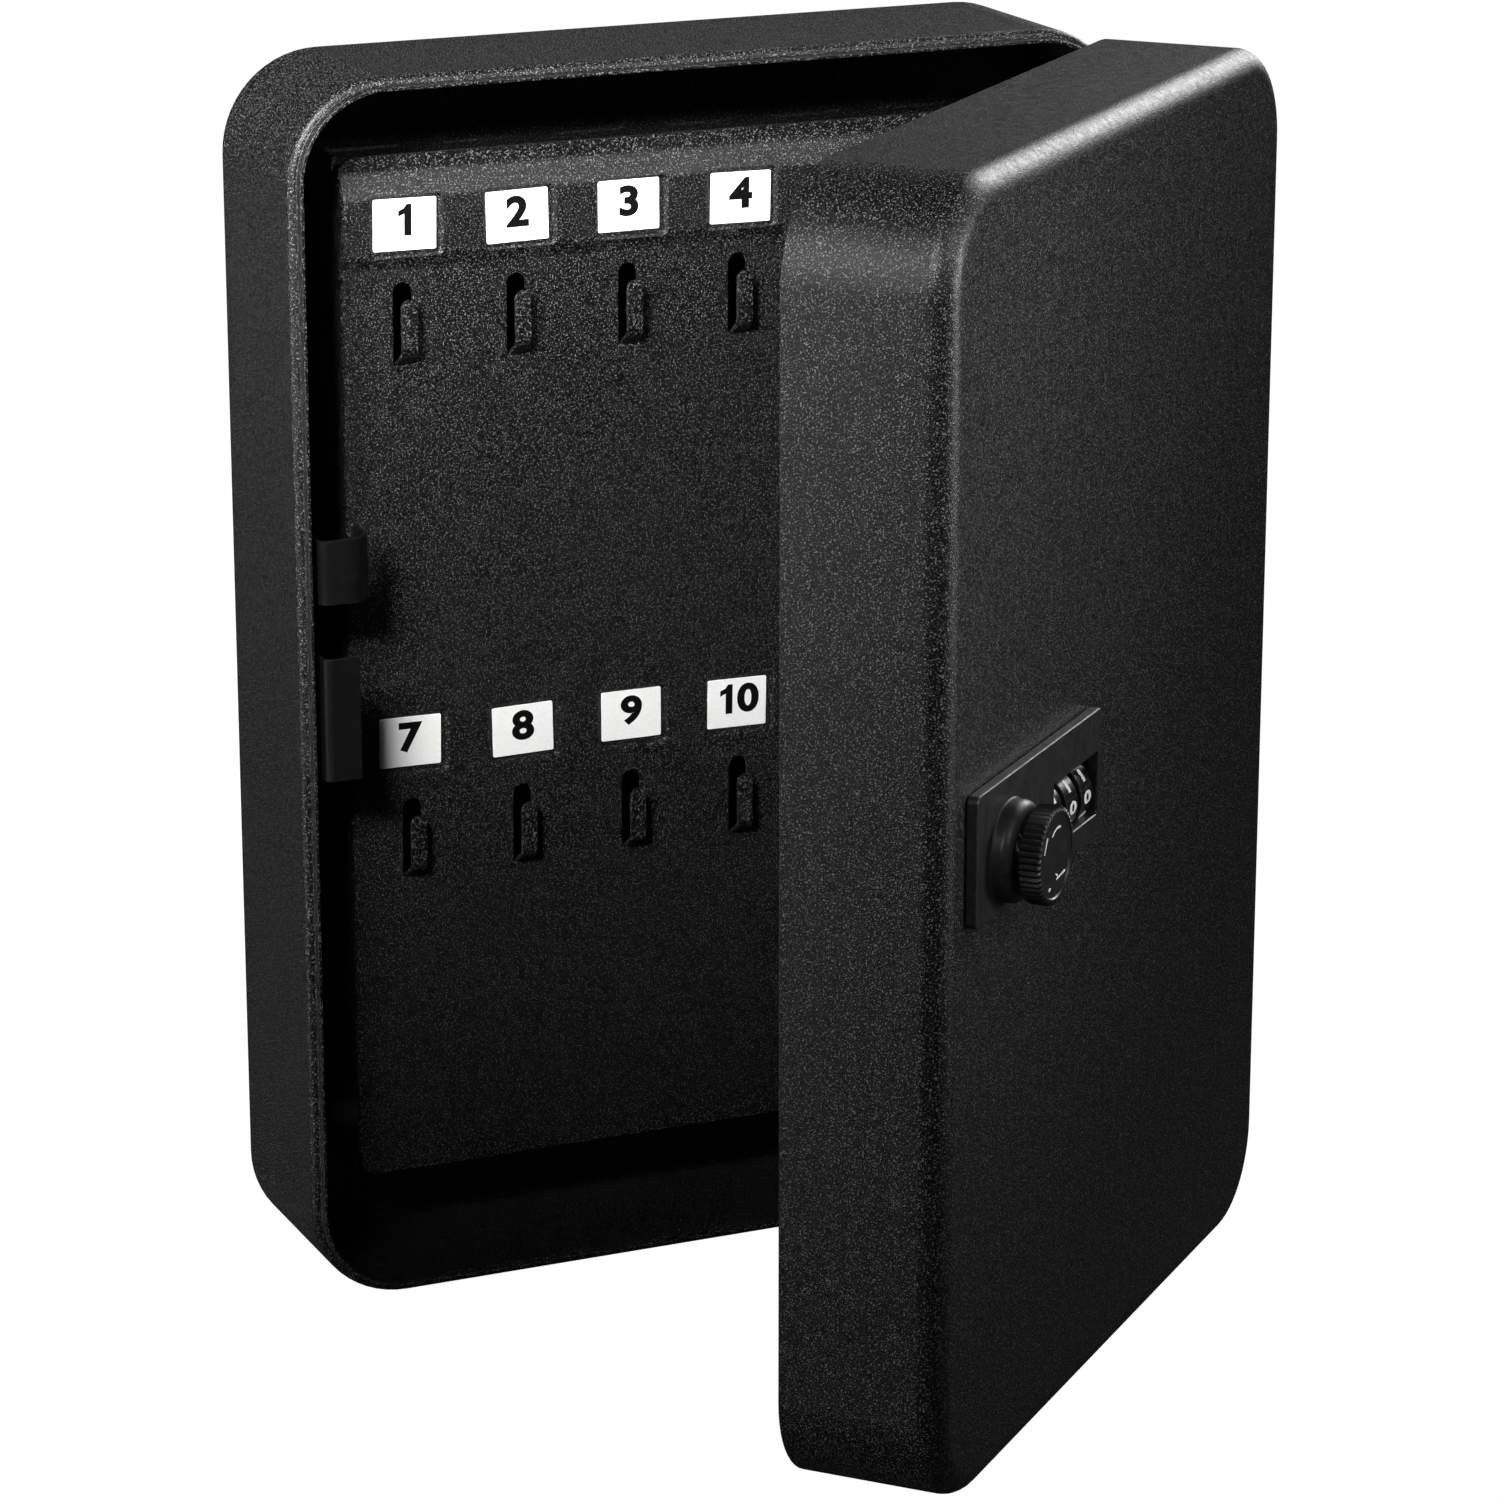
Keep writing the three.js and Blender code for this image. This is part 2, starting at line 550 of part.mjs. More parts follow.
function spindle() {
  const front = PLATE_FRONT - BOSS.height - KNOB.gap - KNOB.socket + 0.3;
  const shaft = barY(SPINDLE_RADIUS, front, CAM.hubY + 6, KNOB_X, LOCK_Z);
  const flat = block(
    [KNOB_X + SPINDLE_FLAT, KNOB_X + 5],
    [HOUSING.back - FENCE.depth - 1.6, HOUSING.back + 0.2],
    [LOCK_Z - 4, LOCK_Z + 4],
  );
  return shaped(shaft, { cut: [flat] });
}

// The cam stands upright when unlocked and is cranked back to pass behind the keeper.
function latchCam() {
  const path = [
    [CAM.hubY, LOCK_Z - CAM.tail],
    [CAM.hubY, LOCK_Z + 7],
    [CAM.tipY - 0.6, LOCK_Z + 12],
    [CAM.tipY, LOCK_Z + 13],
    [CAM.tipY, LOCK_Z + CAM.length],
  ];
  const arm = sideways(strip(path, CAM.sheet), KNOB_X - CAM.width / 2, KNOB_X + CAM.width / 2);
  const outline = frontal(roundedRect(CAM.width, CAM.length + CAM.tail, 3), -30, -60);
  outline.translate(KNOB_X, 0, LOCK_Z + (CAM.length - CAM.tail) / 2);
  const bore = barY(SPINDLE_RADIUS + 0.3, CAM.hubY - 3, CAM.hubY + 3, KNOB_X, LOCK_Z);
  return shaped(arm, { keep: [outline], cut: [bore] });
}

function ring(outerRadius, innerRadius, low, high, segments) {
  const bore = barY(innerRadius, low - 1, high + 1, KNOB_X, LOCK_Z);
  return shaped(barY(outerRadius, low, high, KNOB_X, LOCK_Z, segments), { cut: [bore] });
}

function lockScrew(x) {
  const headLow = HOUSING.back + 0.3 + COVER_THICKNESS + 0.3;
  const top = headLow + SCREW.headHeight;
  const shaft = barY(SCREW.radius, headLow - SCREW.length, headLow + 0.5, x, SCREW.z, 12);
  const head = barY(SCREW.head, headLow, top, x, SCREW.z, 16);
  const slot = block([x - 2, x + 2], [top - 0.6, top + 1], [SCREW.z - 0.35, SCREW.z + 0.35]);
  return shaped(shaft, { add: [head], cut: [slot] });
}

function resetSlider() {
  const low = HOUSING.back - 2;
  const left = RESET.x - 4;
  const half = RESET.height / 2;
  const footZ = [LOCK_Z - 2.2, LOCK_Z + 2.2];
  const foot = block([left - 0.2, left + RESET.length + 0.2], [low, HOUSING.back], footZ);
  const thumb = block([left, left + RESET.length], [low, low + RESET.stem], [LOCK_Z - half, LOCK_Z + half]);
  return shaped(foot, { add: [thumb] });
}

function addLock(door) {
  piece(door, 'lock_faceplate', lockFaceplate(), blackPlastic());
  piece(door, 'lock_housing', lockHousing(), blackPlastic());
  piece(door, 'lock_back_cover', lockBackCover(), blackPlastic());
  for (let index = 0; index < 3; index += 1) {
    piece(door, `dial_wheel_${index + 1}`, dialWheel(index), blackPlastic());
  }
  piece(door, 'dial_axle', dialAxle(), zinc());
  piece(door, 'detent_spring', detentSpring(), zinc());
  piece(door, 'fence_bar', fenceBar(), zinc());
  piece(door, 'reset_slider', resetSlider(), blackPlastic());
  SCREW.xs.forEach((x, index) => piece(door, `lock_screw_${index + 1}`, lockScrew(x), zinc()));
  piece(door, 'knob', knob(), blackPlastic());
  piece(door, 'spindle', spindle(), zinc());
  piece(door, 'latch_cam', latchCam(), zinc());
  const washerLow = CAM.hubY + CAM.sheet / 2 + 0.3;
  const nutLow = washerLow + WASHER.height + 0.3;
  const nutHigh = nutLow + NUT.height;
  const bore = SPINDLE_RADIUS + 0.3;
  piece(door, 'cam_washer', ring(WASHER.radius, bore, washerLow, nutLow - 0.3, ROUND_SEGMENTS), zinc());
  piece(door, 'cam_nut', ring(NUT.radius, bore, nutLow, nutHigh, 6), zinc());
}

// ---- assembly ----

const keyLockBox = new THREE.Group();
const doorSwing = new THREE.Group();
doorSwing.position.set(HINGE.x, HINGE.y, 0);
doorSwing.rotation.z = OPEN_ANGLE;
keyLockBox.add(doorSwing);
const door = new THREE.Group();
door.position.set(-HINGE.x, -HINGE.y, 0);
doorSwing.add(door);

piece(keyLockBox, 'case_shell', caseShell(), blackCoat());
piece(keyLockBox, 'hook_panel', hookPanel(), blackCoat());
for (let row = 0; row < ROWS; row += 1) {
  for (let column = 0; column < COLUMNS; column += 1) {
    const number = String(row * COLUMNS + column + 1).padStart(2, '0');
    piece(keyLockBox, `number_label_${number}`, numberLabel(row, column), whitePaper());
  }
}
piece(keyLockBox, 'latch_keeper', latchKeeper(), blackCoat());
piece(keyLockBox, 'guide_strap', guideStrap(), blackCoat());
addHinge(keyLockBox, door, 'upper', HINGE.z);
addHinge(keyLockBox, door, 'lower', -HINGE.z);
piece(door, 'door_shell', doorShell(), blackCoat());
addLock(door);

export default keyLockBox;
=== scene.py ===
"""Looks for the wall-mounted key lock box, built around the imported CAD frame.

Sizes are in millimetres in the part's own frame: +Z up, the wall at +Y, the door at -Y. Door
pieces are laid out as if the door were shut and are then swung open about the hinge line.
"""

import math

import bmesh
import bpy
from mathutils import Matrix, Vector


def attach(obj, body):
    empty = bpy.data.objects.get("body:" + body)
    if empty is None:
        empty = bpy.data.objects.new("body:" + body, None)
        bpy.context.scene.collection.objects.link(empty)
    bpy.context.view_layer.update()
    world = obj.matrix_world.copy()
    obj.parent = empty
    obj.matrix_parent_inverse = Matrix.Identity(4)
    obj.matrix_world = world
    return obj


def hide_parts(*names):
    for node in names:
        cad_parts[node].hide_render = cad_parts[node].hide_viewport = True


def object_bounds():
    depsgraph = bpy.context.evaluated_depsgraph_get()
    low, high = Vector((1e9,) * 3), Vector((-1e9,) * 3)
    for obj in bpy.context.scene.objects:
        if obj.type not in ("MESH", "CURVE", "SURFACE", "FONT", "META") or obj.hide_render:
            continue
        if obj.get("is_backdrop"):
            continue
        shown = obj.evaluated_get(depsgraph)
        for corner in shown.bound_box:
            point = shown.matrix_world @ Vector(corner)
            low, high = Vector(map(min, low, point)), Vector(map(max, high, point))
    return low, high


MM = 0.001
RIGHT_ANGLE = math.pi / 2
CORNERS = [(side, end) for side in (-1, 1) for end in (-1, 1)]

# Clear space between pieces that are welded or screwed together
JOIN_GAP = 0.3

# Case and door pressings
WIDTH, HEIGHT, CORNER, SHEET = 180, 250, 20, 1.2
CASE_DEPTH, CASE_EDGE = 40.5, 1.6
LIP_STEP, LIP_LENGTH, LIP_SHEET = 1.7, 2, 0.8
DOOR_GAP, DOOR_DEPTH, DOOR_EDGE = 0.3, 32.4, 5
OPEN_ANGLE = math.radians(42.3)
LIP_FRONT = -CASE_DEPTH - LIP_LENGTH
DOOR_RIM = -CASE_DEPTH - DOOR_GAP
FACE_Y = DOOR_RIM - DOOR_DEPTH

# Holes and pockets in the back wall
WALL_HOLE_RADIUS, WALL_HOLE_X, WALL_HOLE_Z = 2.75, 80, 100
BACK_PITCH, BACK_WIDTH, BACK_LOW, BACK_HIGH, BACK_DEPTH = 24.2, 16, 104, 117, 0.4

# Hook panel
COLUMNS, ROWS, COLUMN_PITCH, ROW_PITCH = 6, 2, 24.1, 106.5
PANEL_HALF_WIDTH, PANEL_HALF_HEIGHT, PANEL_FRONT, PANEL_SHEET = 73.2, 106, -22, 1
PANEL_BEND, PANEL_CORNER, FOOT_REACH, FOOT_HEIGHT, FOOT_Z = 1.5, 4, 9, 24, 80
BEAD_LOW, BEAD_LOW_FACE, BEAD_ROLL, BEAD_TOP = 83.2, 86.8, 97.2, 103.4
BEAD_RISE, BEAD_FALL = 1.2, 2.2
CREASE_Z, CREASE_DEPTH, CREASE_HALF = 57.7, 0.12, 0.7
PANEL_REAR = -SHEET - JOIN_GAP
LABEL_WIDTH, LABEL_HEIGHT, LABEL_THICKNESS, LABEL_TOP_Z = 13.2, 10.4, 0.3, 92.4
LABEL_DIGIT_HEIGHT, LABEL_DIGIT_BOLD, LABEL_DIGIT_RISE, LABEL_EASE = 6.3, 0.34, 0.9, 0.06
POCKET_WIDTH, POCKET_HEIGHT, POCKET_DEPTH, POCKET_SHIFT = 14.6, 11.8, 0.5, 0.4
SLOT_WIDTH, SLOT_LENGTH, SLOT_TOP = 4, 16.4, 80.5
HOOK_WIDTH, HOOK_SHEET, HOOK_REACH, HOOK_DROP = 3.5, 1, 3.8, 2.8

# Brackets on the left wall
BRACKET_SHEET, BRACKET_REAR, BRACKET_BEND = 1, -16, -34
KEEPER_LOW, KEEPER_HIGH, KEEPER_FRONT, KEEPER_LEFT, KEEPER_RIGHT = -13.8, 11.4, -43, -85.9, -78.4
STRAP_LOW, STRAP_HIGH, STRAP_FRONT, STRAP_LEFT, STRAP_RIGHT = 22, 35.1, -42, -85.9, -74.5
STRAP_CURL, STRAP_TAIL = 6, 3.4

# Hinges
HINGE_X, HINGE_Y, HINGE_Z, HINGE_LENGTH = 93.4, -41.8, 76, 32
BARREL, PIN, LEAF, LEAF_DEPTH, KNUCKLE_GAP, NOTCH_CLEARANCE = 2.6, 1.2, 1, 14, 0.4, 0.8

# Combination lock
LOCK_Z = -0.2
PLATE_LEFT, PLATE_RIGHT, PLATE_Z = -80.9, -16.7, 1.5
PLATE_HEIGHT, PLATE_THICKNESS, PLATE_EDGE = 25, 2, 0.4
PLATE_BACK = FACE_Y - JOIN_GAP
PLATE_FRONT = PLATE_BACK - PLATE_THICKNESS
KNOB_X, BOSS_RADIUS, BOSS_HEIGHT, BOSS_ROUND = -65, 9.6, 3.8, 2.2
KNOB_RADIUS, KNOB_DEPTH, KNOB_GAP, KNOB_SOCKET = 9.2, 4.3, 1.2, 2.9
KNOB_RIDGES, RIDGE_DEPTH = 48, 0.45
KNOB_BACK = PLATE_FRONT - BOSS_HEIGHT - KNOB_GAP
SPINDLE_RADIUS, SPINDLE_FLAT, SPINDLE_BORE, SPINDLE_SIDES = 3, 2.2, 3.4, 48
THREAD_PITCH, THREAD_DEPTH, THREAD_RINGS = 0.8, 0.32, 60
WHEEL_RADIUS, WHEEL_BORE, WHEEL_WIDTH = 7, 1.8, 6.2
WHEEL_PITCH, WHEEL_FIRST_X, WHEELS = 7.7, -37.8, 3
DIGITS, GROOVE, GROOVE_ANGLE = 10, 0.12, 0.06
DIGIT_HEIGHT, DIGIT_BOLD, DIGIT_LIFT, DIGIT_STRETCH = 2.6, 0.12, 0.05, 1.9
DIAL_Y, DIAL_Z = PLATE_FRONT + 0.6 + WHEEL_RADIUS, -2.3
WINDOW_LEFT, WINDOW_RIGHT, WINDOW_LOW, WINDOW_HIGH = -41.9, -18.7, -6.5, 5.6
HOUSING_LEFT, HOUSING_RIGHT, HOUSING_LOW, HOUSING_HIGH, HOUSING_BACK = -77, -17.9, -10.4, 11.5, -54
CAM_HUB_Y, CUT_OUT_GAP = -49.6, 0.3

# Finishes: the span that most noise values fall in, and the grains in cells a metre
NOISE_LOW, NOISE_HIGH, NOISE_ROUGHNESS = 0.35, 0.65, 0.55
SAND_GRAIN, PLASTIC_GRAIN, FIBRE_GRAIN, INK_GRAIN = 3400, 3600, 1500, 5000

# Lettering: the built-in font's capital height for a size of 1, the pitch of the digits for a
# height of 1, and how far the print on a label stands out
CAP_HEIGHT, LETTER_PITCH, LETTER_LIFT = 0.72, 0.78, 0.03

# Camera, solved from the outline in the photo: metres, degrees, and millimetres for the lens
CAMERA_PLACE, CAMERA_TILT, CAMERA_TURN = (-0.42198, -1.00601, 0.29935), 73.24, -23.93
CAMERA_LENS, CAMERA_SENSOR = 129.5, 36

# Lights: name, place, point aimed at and size in metres, power in watts, spread in degrees
LIGHTS = (
    ("key", (-0.45, -0.50, 0.43), (-0.11, -0.03, 0.22), (0.2, 0.2), 1.7, 42),
    ("fill", (0.27, -0.78, 0.62), (0.0, -0.08, 0.26), (0.4, 0.4), 0.5, 46),
    ("rim", (0.75, 0.38, 0.5), (-0.02, -0.1, 0.16), (0.5, 0.6), 1.0, 50),
    ("side", (-1.2, -0.12, 0.02), (-0.05, -0.1, 0), (0.25, 0.7), 3.0, 90),
    ("edge", (0.675, -0.548, 0.126), (-0.03, -0.19, 0.115), (0.1, 0.22), 0.13, 24),
)
WHITE, DIM = (1, 1, 1, 1), (0.03, 0.03, 0.03, 1)

# Floor: its radius in metres, and its distance below the case in millimetres
FLOOR_RADIUS, FLOOR_GAP = 6, 0.4

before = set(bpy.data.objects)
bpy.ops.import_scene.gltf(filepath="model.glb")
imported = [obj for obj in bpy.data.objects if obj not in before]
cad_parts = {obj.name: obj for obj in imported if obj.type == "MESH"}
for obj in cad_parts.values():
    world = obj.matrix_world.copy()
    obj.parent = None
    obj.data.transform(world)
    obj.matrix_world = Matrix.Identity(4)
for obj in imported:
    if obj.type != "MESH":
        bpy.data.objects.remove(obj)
cad_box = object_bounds()
DOOR_SWING = (
    Matrix.Translation((HINGE_X, HINGE_Y, 0))
    @ Matrix.Rotation(OPEN_ANGLE, 4, "Z")
    @ Matrix.Translation((-HINGE_X, -HINGE_Y, 0))
)


# ---- materials ----


class Finish:
    """A Principled material with noise-driven colour, roughness and relief."""

    def __init__(self, name, **sockets):
        self.material = bpy.data.materials.new(name)
        self.material.use_nodes = True
        self.tree = self.material.node_tree
        self.shader = self.tree.nodes["Principled BSDF"]
        self.place = self.tree.nodes.new("ShaderNodeTexCoord").outputs["Object"]
        for socket, value in sockets.items():
            self.shader.inputs[socket.replace("_", " ")].default_value = value

    def noise(self, scale, detail, stretch=(1, 1, 1)):
        mapping = self.tree.nodes.new("ShaderNodeMapping")
        mapping.inputs["Scale"].default_value = stretch
        self.tree.links.new(self.place, mapping.inputs["Vector"])
        node = self.tree.nodes.new("ShaderNodeTexNoise")
        node.inputs["Scale"].default_value = scale
        node.inputs["Detail"].default_value = detail
        node.inputs["Roughness"].default_value = NOISE_ROUGHNESS
        self.tree.links.new(mapping.outputs["Vector"], node.inputs["Vector"])
        return node.outputs["Fac"]

    def colour(self, factor, *stops):
        """Stops are (position, tone), and a tone is a grey level or a colour."""
        ramp = self.tree.nodes.new("ShaderNodeValToRGB")
        elements = ramp.color_ramp.elements
        while len(elements) < len(stops):
            elements.new(0.5)
        for element, (position, level) in zip(elements, stops):
            element.position = position
            tone = level if isinstance(level, tuple) else (level, level, level)
            element.color = (*tone, 1)
        self.tree.links.new(factor, ramp.inputs["Fac"])
        self.tree.links.new(ramp.outputs["Color"], self.shader.inputs["Base Color"])

    def roughness(self, factor, low, high):
        span = self.tree.nodes.new("ShaderNodeMapRange")
        span.inputs["From Min"].default_value = NOISE_LOW
        span.inputs["From Max"].default_value = NOISE_HIGH
        span.inputs["To Min"].default_value = low
        span.inputs["To Max"].default_value = high
        self.tree.links.new(factor, span.inputs["Value"])
        self.tree.links.new(span.outputs["Result"], self.shader.inputs["Roughness"])

    def relief(self, height, strength, distance):
        """Bumps of a noise value, with their full height in millimetres."""
        bump = self.tree.nodes.new("ShaderNodeBump")
        bump.inputs["Strength"].default_value = strength
        bump.inputs["Distance"].default_value = distance * MM
        self.tree.links.new(height, bump.inputs["Height"])
        self.tree.links.new(bump.outputs["Normal"], self.shader.inputs["Normal"])


def powder_coat():
    """Black powder coat: a fine sand texture whose crests catch the light."""
    coat = Finish("powder_coat_black", Metallic=0.0, Specular_IOR_Level=0.3)
    grain = coat.noise(SAND_GRAIN, 0)
    coat.colour(grain, (0.44, 0.0003), (0.55, 0.002), (0.66, 0.035), (0.76, 0.12))
    coat.roughness(coat.noise(700, 2), 0.38, 0.5)
    coat.relief(grain, 0.7, 0.09)
    return coat.material


def satin_plastic(name, smoothest, roughest, level, gloss=0.4, grain_depth=0.02):
    """Black plastic, or the brackets' darker black, which is partly their own paint and partly
    painted shade. level is its mean tone, and the two roughnesses are its range.
    """
    plastic = Finish(name, Metallic=0.0, Specular_IOR_Level=gloss)
    grain = plastic.noise(PLASTIC_GRAIN, 2)
    tones = (NOISE_LOW, level * 0.8), (NOISE_HIGH, level * 1.4)
    plastic.colour(plastic.noise(900, 3), *tones)
    plastic.roughness(plastic.noise(240, 3), smoothest, roughest)
    plastic.relief(grain, 0.5, grain_depth)
    return plastic.material


def label_paper():
    """White paper with a faint upright fibre."""
    paper = Finish("label_paper_white", Metallic=0.0, Specular_IOR_Level=0.25)
    fibre = paper.noise(FIBRE_GRAIN, 4, stretch=(1, 1, 3.5))
    paper.colour(fibre, (0.3, (0.80, 0.80, 0.79)), (0.7, (0.90, 0.90, 0.89)))
    paper.roughness(paper.noise(700, 2), 0.7, 0.9)
    paper.relief(fibre, 0.3, 0.015)
    return paper.material


def ink(name, dark, light, roughness, gloss):
    """Printing ink, slightly specked."""
    film = Finish(name, Metallic=0.0, Specular_IOR_Level=gloss)
    speck = film.noise(INK_GRAIN, 3)
    film.colour(speck, (0.3, dark), (0.7, light))
    film.roughness(film.noise(1200, 2), roughness - 0.08, roughness + 0.08)
    film.relief(speck, 0.2, 0.008)
    return film.material


def zinc_steel():
    """Zinc plate with a clouded tone and a brushed gloss."""
    zinc = Finish("zinc_plated_steel", Metallic=1.0)
    brushed = zinc.noise(900, 4, stretch=(1, 1, 0.12))
    dull, plain, bright = (0.42, 0.43, 0.45), (0.55, 0.56, 0.57), (0.66, 0.66, 0.66)
    zinc.colour(zinc.noise(220, 3), (0.3, dull), (0.55, plain), (0.75, bright))
    zinc.roughness(brushed, 0.24, 0.46)
    zinc.relief(brushed, 0.35, 0.02)
    return zinc.material


POWDER = powder_coat()
# The brackets' black is darker than the powder coat. Part of that is their own black paint, and
# part is painted shade for the shade they sit in under the case's lip.
BRACKET_BLACK_AND_SHADE = satin_plastic("bracket_black_paint_and_painted_shade", 0.3, 0.4, 0.004, 0.25)
PLATE_PLASTIC = satin_plastic("lock_plastic_satin", 0.36, 0.48, 0.014, 0.25)
KNOB_PLASTIC = satin_plastic("knob_plastic_satin", 0.34, 0.44, 0.007)
WHEEL_PLASTIC = satin_plastic("dial_plastic_smooth", 0.26, 0.36, 0.006, 0.5, 0.01)
PAPER = label_paper()
BLACK_INK = ink("print_black", 0.001, 0.004, 0.6, 0.08)
WHITE_INK = ink("print_white", 0.78, 0.9, 0.5, 0.4)
ZINC = zinc_steel()


# ---- meshes ----


def clean(bm):
    """Joins points that coincide and turns every face outward."""
    bmesh.ops.remove_doubles(bm, verts=bm.verts, dist=0.0005)
    bmesh.ops.recalc_face_normals(bm, faces=bm.faces)


def solid(rings, closed=False):
    """Faces between closed rings of points, with the two ends capped or joined to each other."""
    bm = bmesh.new()
    loops = [[bm.verts.new(point) for point in ring] for ring in rings]
    count = len(loops[0])
    last = len(loops) if closed else len(loops) - 1
    for i in range(last):
        here, after = loops[i], loops[(i + 1) % len(loops)]
        for k in range(count):
            bm.faces.new((here[k], here[(k + 1) % count], after[(k + 1) % count], after[k]))
    if not closed:
        bm.faces.new(reversed(loops[0]))
        bm.faces.new(loops[-1])
    clean(bm)
    return bm


def merged(*solids):
    """One mesh that holds several solids, which it frees."""
    whole = bmesh.new()
    for part in solids:
        mesh = bpy.data.meshes.new("part")
        part.to_mesh(mesh)
        part.free()
        whole.from_mesh(mesh)
        bpy.data.meshes.remove(mesh)
    return whole


def as_object(name, bm, material=None):
    """An object that holds the mesh, which it frees."""
    mesh = bpy.data.meshes.new(name)
    bm.to_mesh(mesh)
    bm.free()
    obj = bpy.data.objects.new(name, mesh)
    bpy.context.scene.collection.objects.link(obj)
    if material:
        mesh.materials.append(material)
    return obj


def apply_modifiers(obj):
    """Puts the modified mesh in the place of the object's own."""
    bpy.context.view_layer.update()
    graph = bpy.context.evaluated_depsgraph_get()
    mesh = bpy.data.meshes.new_from_object(obj.evaluated_get(graph))
    stale = obj.data
    obj.modifiers.clear()
    obj.data = mesh
    bpy.data.meshes.remove(stale)


def combine(obj, others, operation):
    """Adds the other solids to the object, or cuts them from it."""
    tool = as_object("tool", merged(*others))
    change = obj.modifiers.new("shape", "BOOLEAN")
    change.operation = operation
    change.solver = "EXACT"
    change.object = tool
    apply_modifiers(obj)
    bpy.data.objects.remove(tool)


def smooth(obj, angle=32):
    """Smooth shading that keeps flat faces flat, and stays sharp past the angle."""
    for polygon in obj.data.polygons:
        polygon.use_smooth = True
    obj.data.set_sharp_from_angle(angle=math.radians(angle))
    weighted = obj.modifiers.new("weighted", "WEIGHTED_NORMAL")
    weighted.keep_sharp = True
    apply_modifiers(obj)


def piece(name, bm, material, body, nodes=(), cuts=(), adds=(), swung=False, angle=32):
    """A finished piece: shaped in millimetres, put in place, and given its body."""
    obj = as_object(name, bm, material)
    if adds:
        combine(obj, adds, "UNION")
    if cuts:
        combine(obj, cuts, "DIFFERENCE")
    if swung:
        obj.data.transform(DOOR_SWING)
    obj.data.transform(Matrix.Scale(MM, 4))
    smooth(obj, angle)
    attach(obj, body)
    if nodes:
        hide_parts(*nodes)


def arc(centre_u, centre_v, radius, start, end, steps):
    """Points along an arc, with the angles in degrees."""
    angles = [math.radians(start + (end - start) * i / steps) for i in range(steps + 1)]
    return [(centre_u + radius * math.cos(a), centre_v + radius * math.sin(a)) for a in angles]


def rounded(half_x, half_z, radius, centre=(0, 0), steps=14):
    """A rounded rectangle, seen from the front."""
    x, z = half_x - radius, half_z - radius
    points = []
    for quarter, (side, end) in enumerate(((1, 1), (-1, 1), (-1, -1), (1, -1))):
        corner = (centre[0] + side * x, centre[1] + end * z)
        points += arc(*corner, radius, 90 * quarter, 90 * quarter + 90, steps)
    return points


def frontal(outline, levels):
    """A body from front-view outlines: outline(offset) at each (offset, y) level."""
    return solid([[(x, y, z) for x, z in outline(offset)] for offset, y in levels])


def block(xs, ys, zs):
    """A box between two values on each axis."""
    (x0, x1), (z0, z1) = xs, zs
    return solid([[(x0, y, z0), (x1, y, z0), (x1, y, z1), (x0, y, z1)] for y in ys])


def filleted(points, radius, steps=5):
    """A line of points with each inner corner rounded."""
    line = [Vector(point) for point in points]
    result = [line[0]]
    for before, corner, after in zip(line, line[1:], line[2:]):
        shorter = min((corner - before).length, (after - corner).length)
        reach = min(radius, 0.48 * shorter)
        start = corner + (before - corner).normalized() * reach
        end = corner + (after - corner).normalized() * reach
        for i in range(steps + 1):
            t = i / steps
            result.append(start * (1 - t) ** 2 + corner * (2 * t * (1 - t)) + end * t ** 2)
    result.append(line[-1])
    return result


def bent_sheet(path, thickness, spans, place, ease):
    """A strip of sheet along a path, with eased edges. spans gives its low and high side at each
    point, and place turns (along, across, side) into a position."""
    rings = []
    half = thickness / 2
    for i, point in enumerate(path):
        arriving = (point - path[max(i - 1, 0)]).normalized()
        leaving = (path[min(i + 1, len(path) - 1)] - point).normalized()
        tangent = (arriving + leaving).normalized()
        normal = Vector((-tangent.y, tangent.x)) / max(tangent.dot(arriving), tangent.dot(leaving))
        low, high = spans(i)
        section = (
            (-half, low + ease), (-half, high - ease), (ease - half, high), (half - ease, high),
            (half, high - ease), (half, low + ease), (half - ease, low), (ease - half, low),
        )
        rings.append([place(*(point + normal * off), side) for off, side in section])
    return solid(rings)


def turned(profile, place, count, ripple=None, closed=False):
    """A body of revolution. profile is (radius, distance) pairs, and ripple scales the radius
    of the points that carry a third, true value."""
    rings = []
    for radius, along, *rippled in profile:
        ring = []
        for k in range(count):
            angle = 2 * math.pi * k / count
            scale = ripple(angle) if rippled else 1.0
            ring.append(place(radius * scale, along, angle))
        rings.append(ring)
    return solid(rings, closed)


def about_hinge(radius, z, angle):
    """A point at a radius from the hinge line; the next two serve the knob and the dials."""
    return (HINGE_X + radius * math.cos(angle), HINGE_Y + radius * math.sin(angle), z)


def about_knob(radius, y, angle):
    return (KNOB_X + radius * math.cos(angle), y, LOCK_Z + radius * math.sin(angle))


def about_dial(radius, x, angle):
    return (x, DIAL_Y - radius * math.cos(angle), DIAL_Z + radius * math.sin(angle))


def flagged_one(height, lift):
    """A bold 1 with a slanted flag, in place of the font's plain one."""
    flag = ((0.36, 1), (0.26, 0.87), (0.08, 0.79), (0.08, 0.61), (0.28, 0.7))
    points = ((0.52, 0), (0.52, 1), *flag, (0.28, 0))
    outline = [((x - 0.3) * height, (y - 0.5) * height) for x, y in points]
    bm = solid([[(x, y, side) for x, y in outline] for side in (-lift, lift)])
    bmesh.ops.triangulate(bm, faces=bm.faces)
    return bm


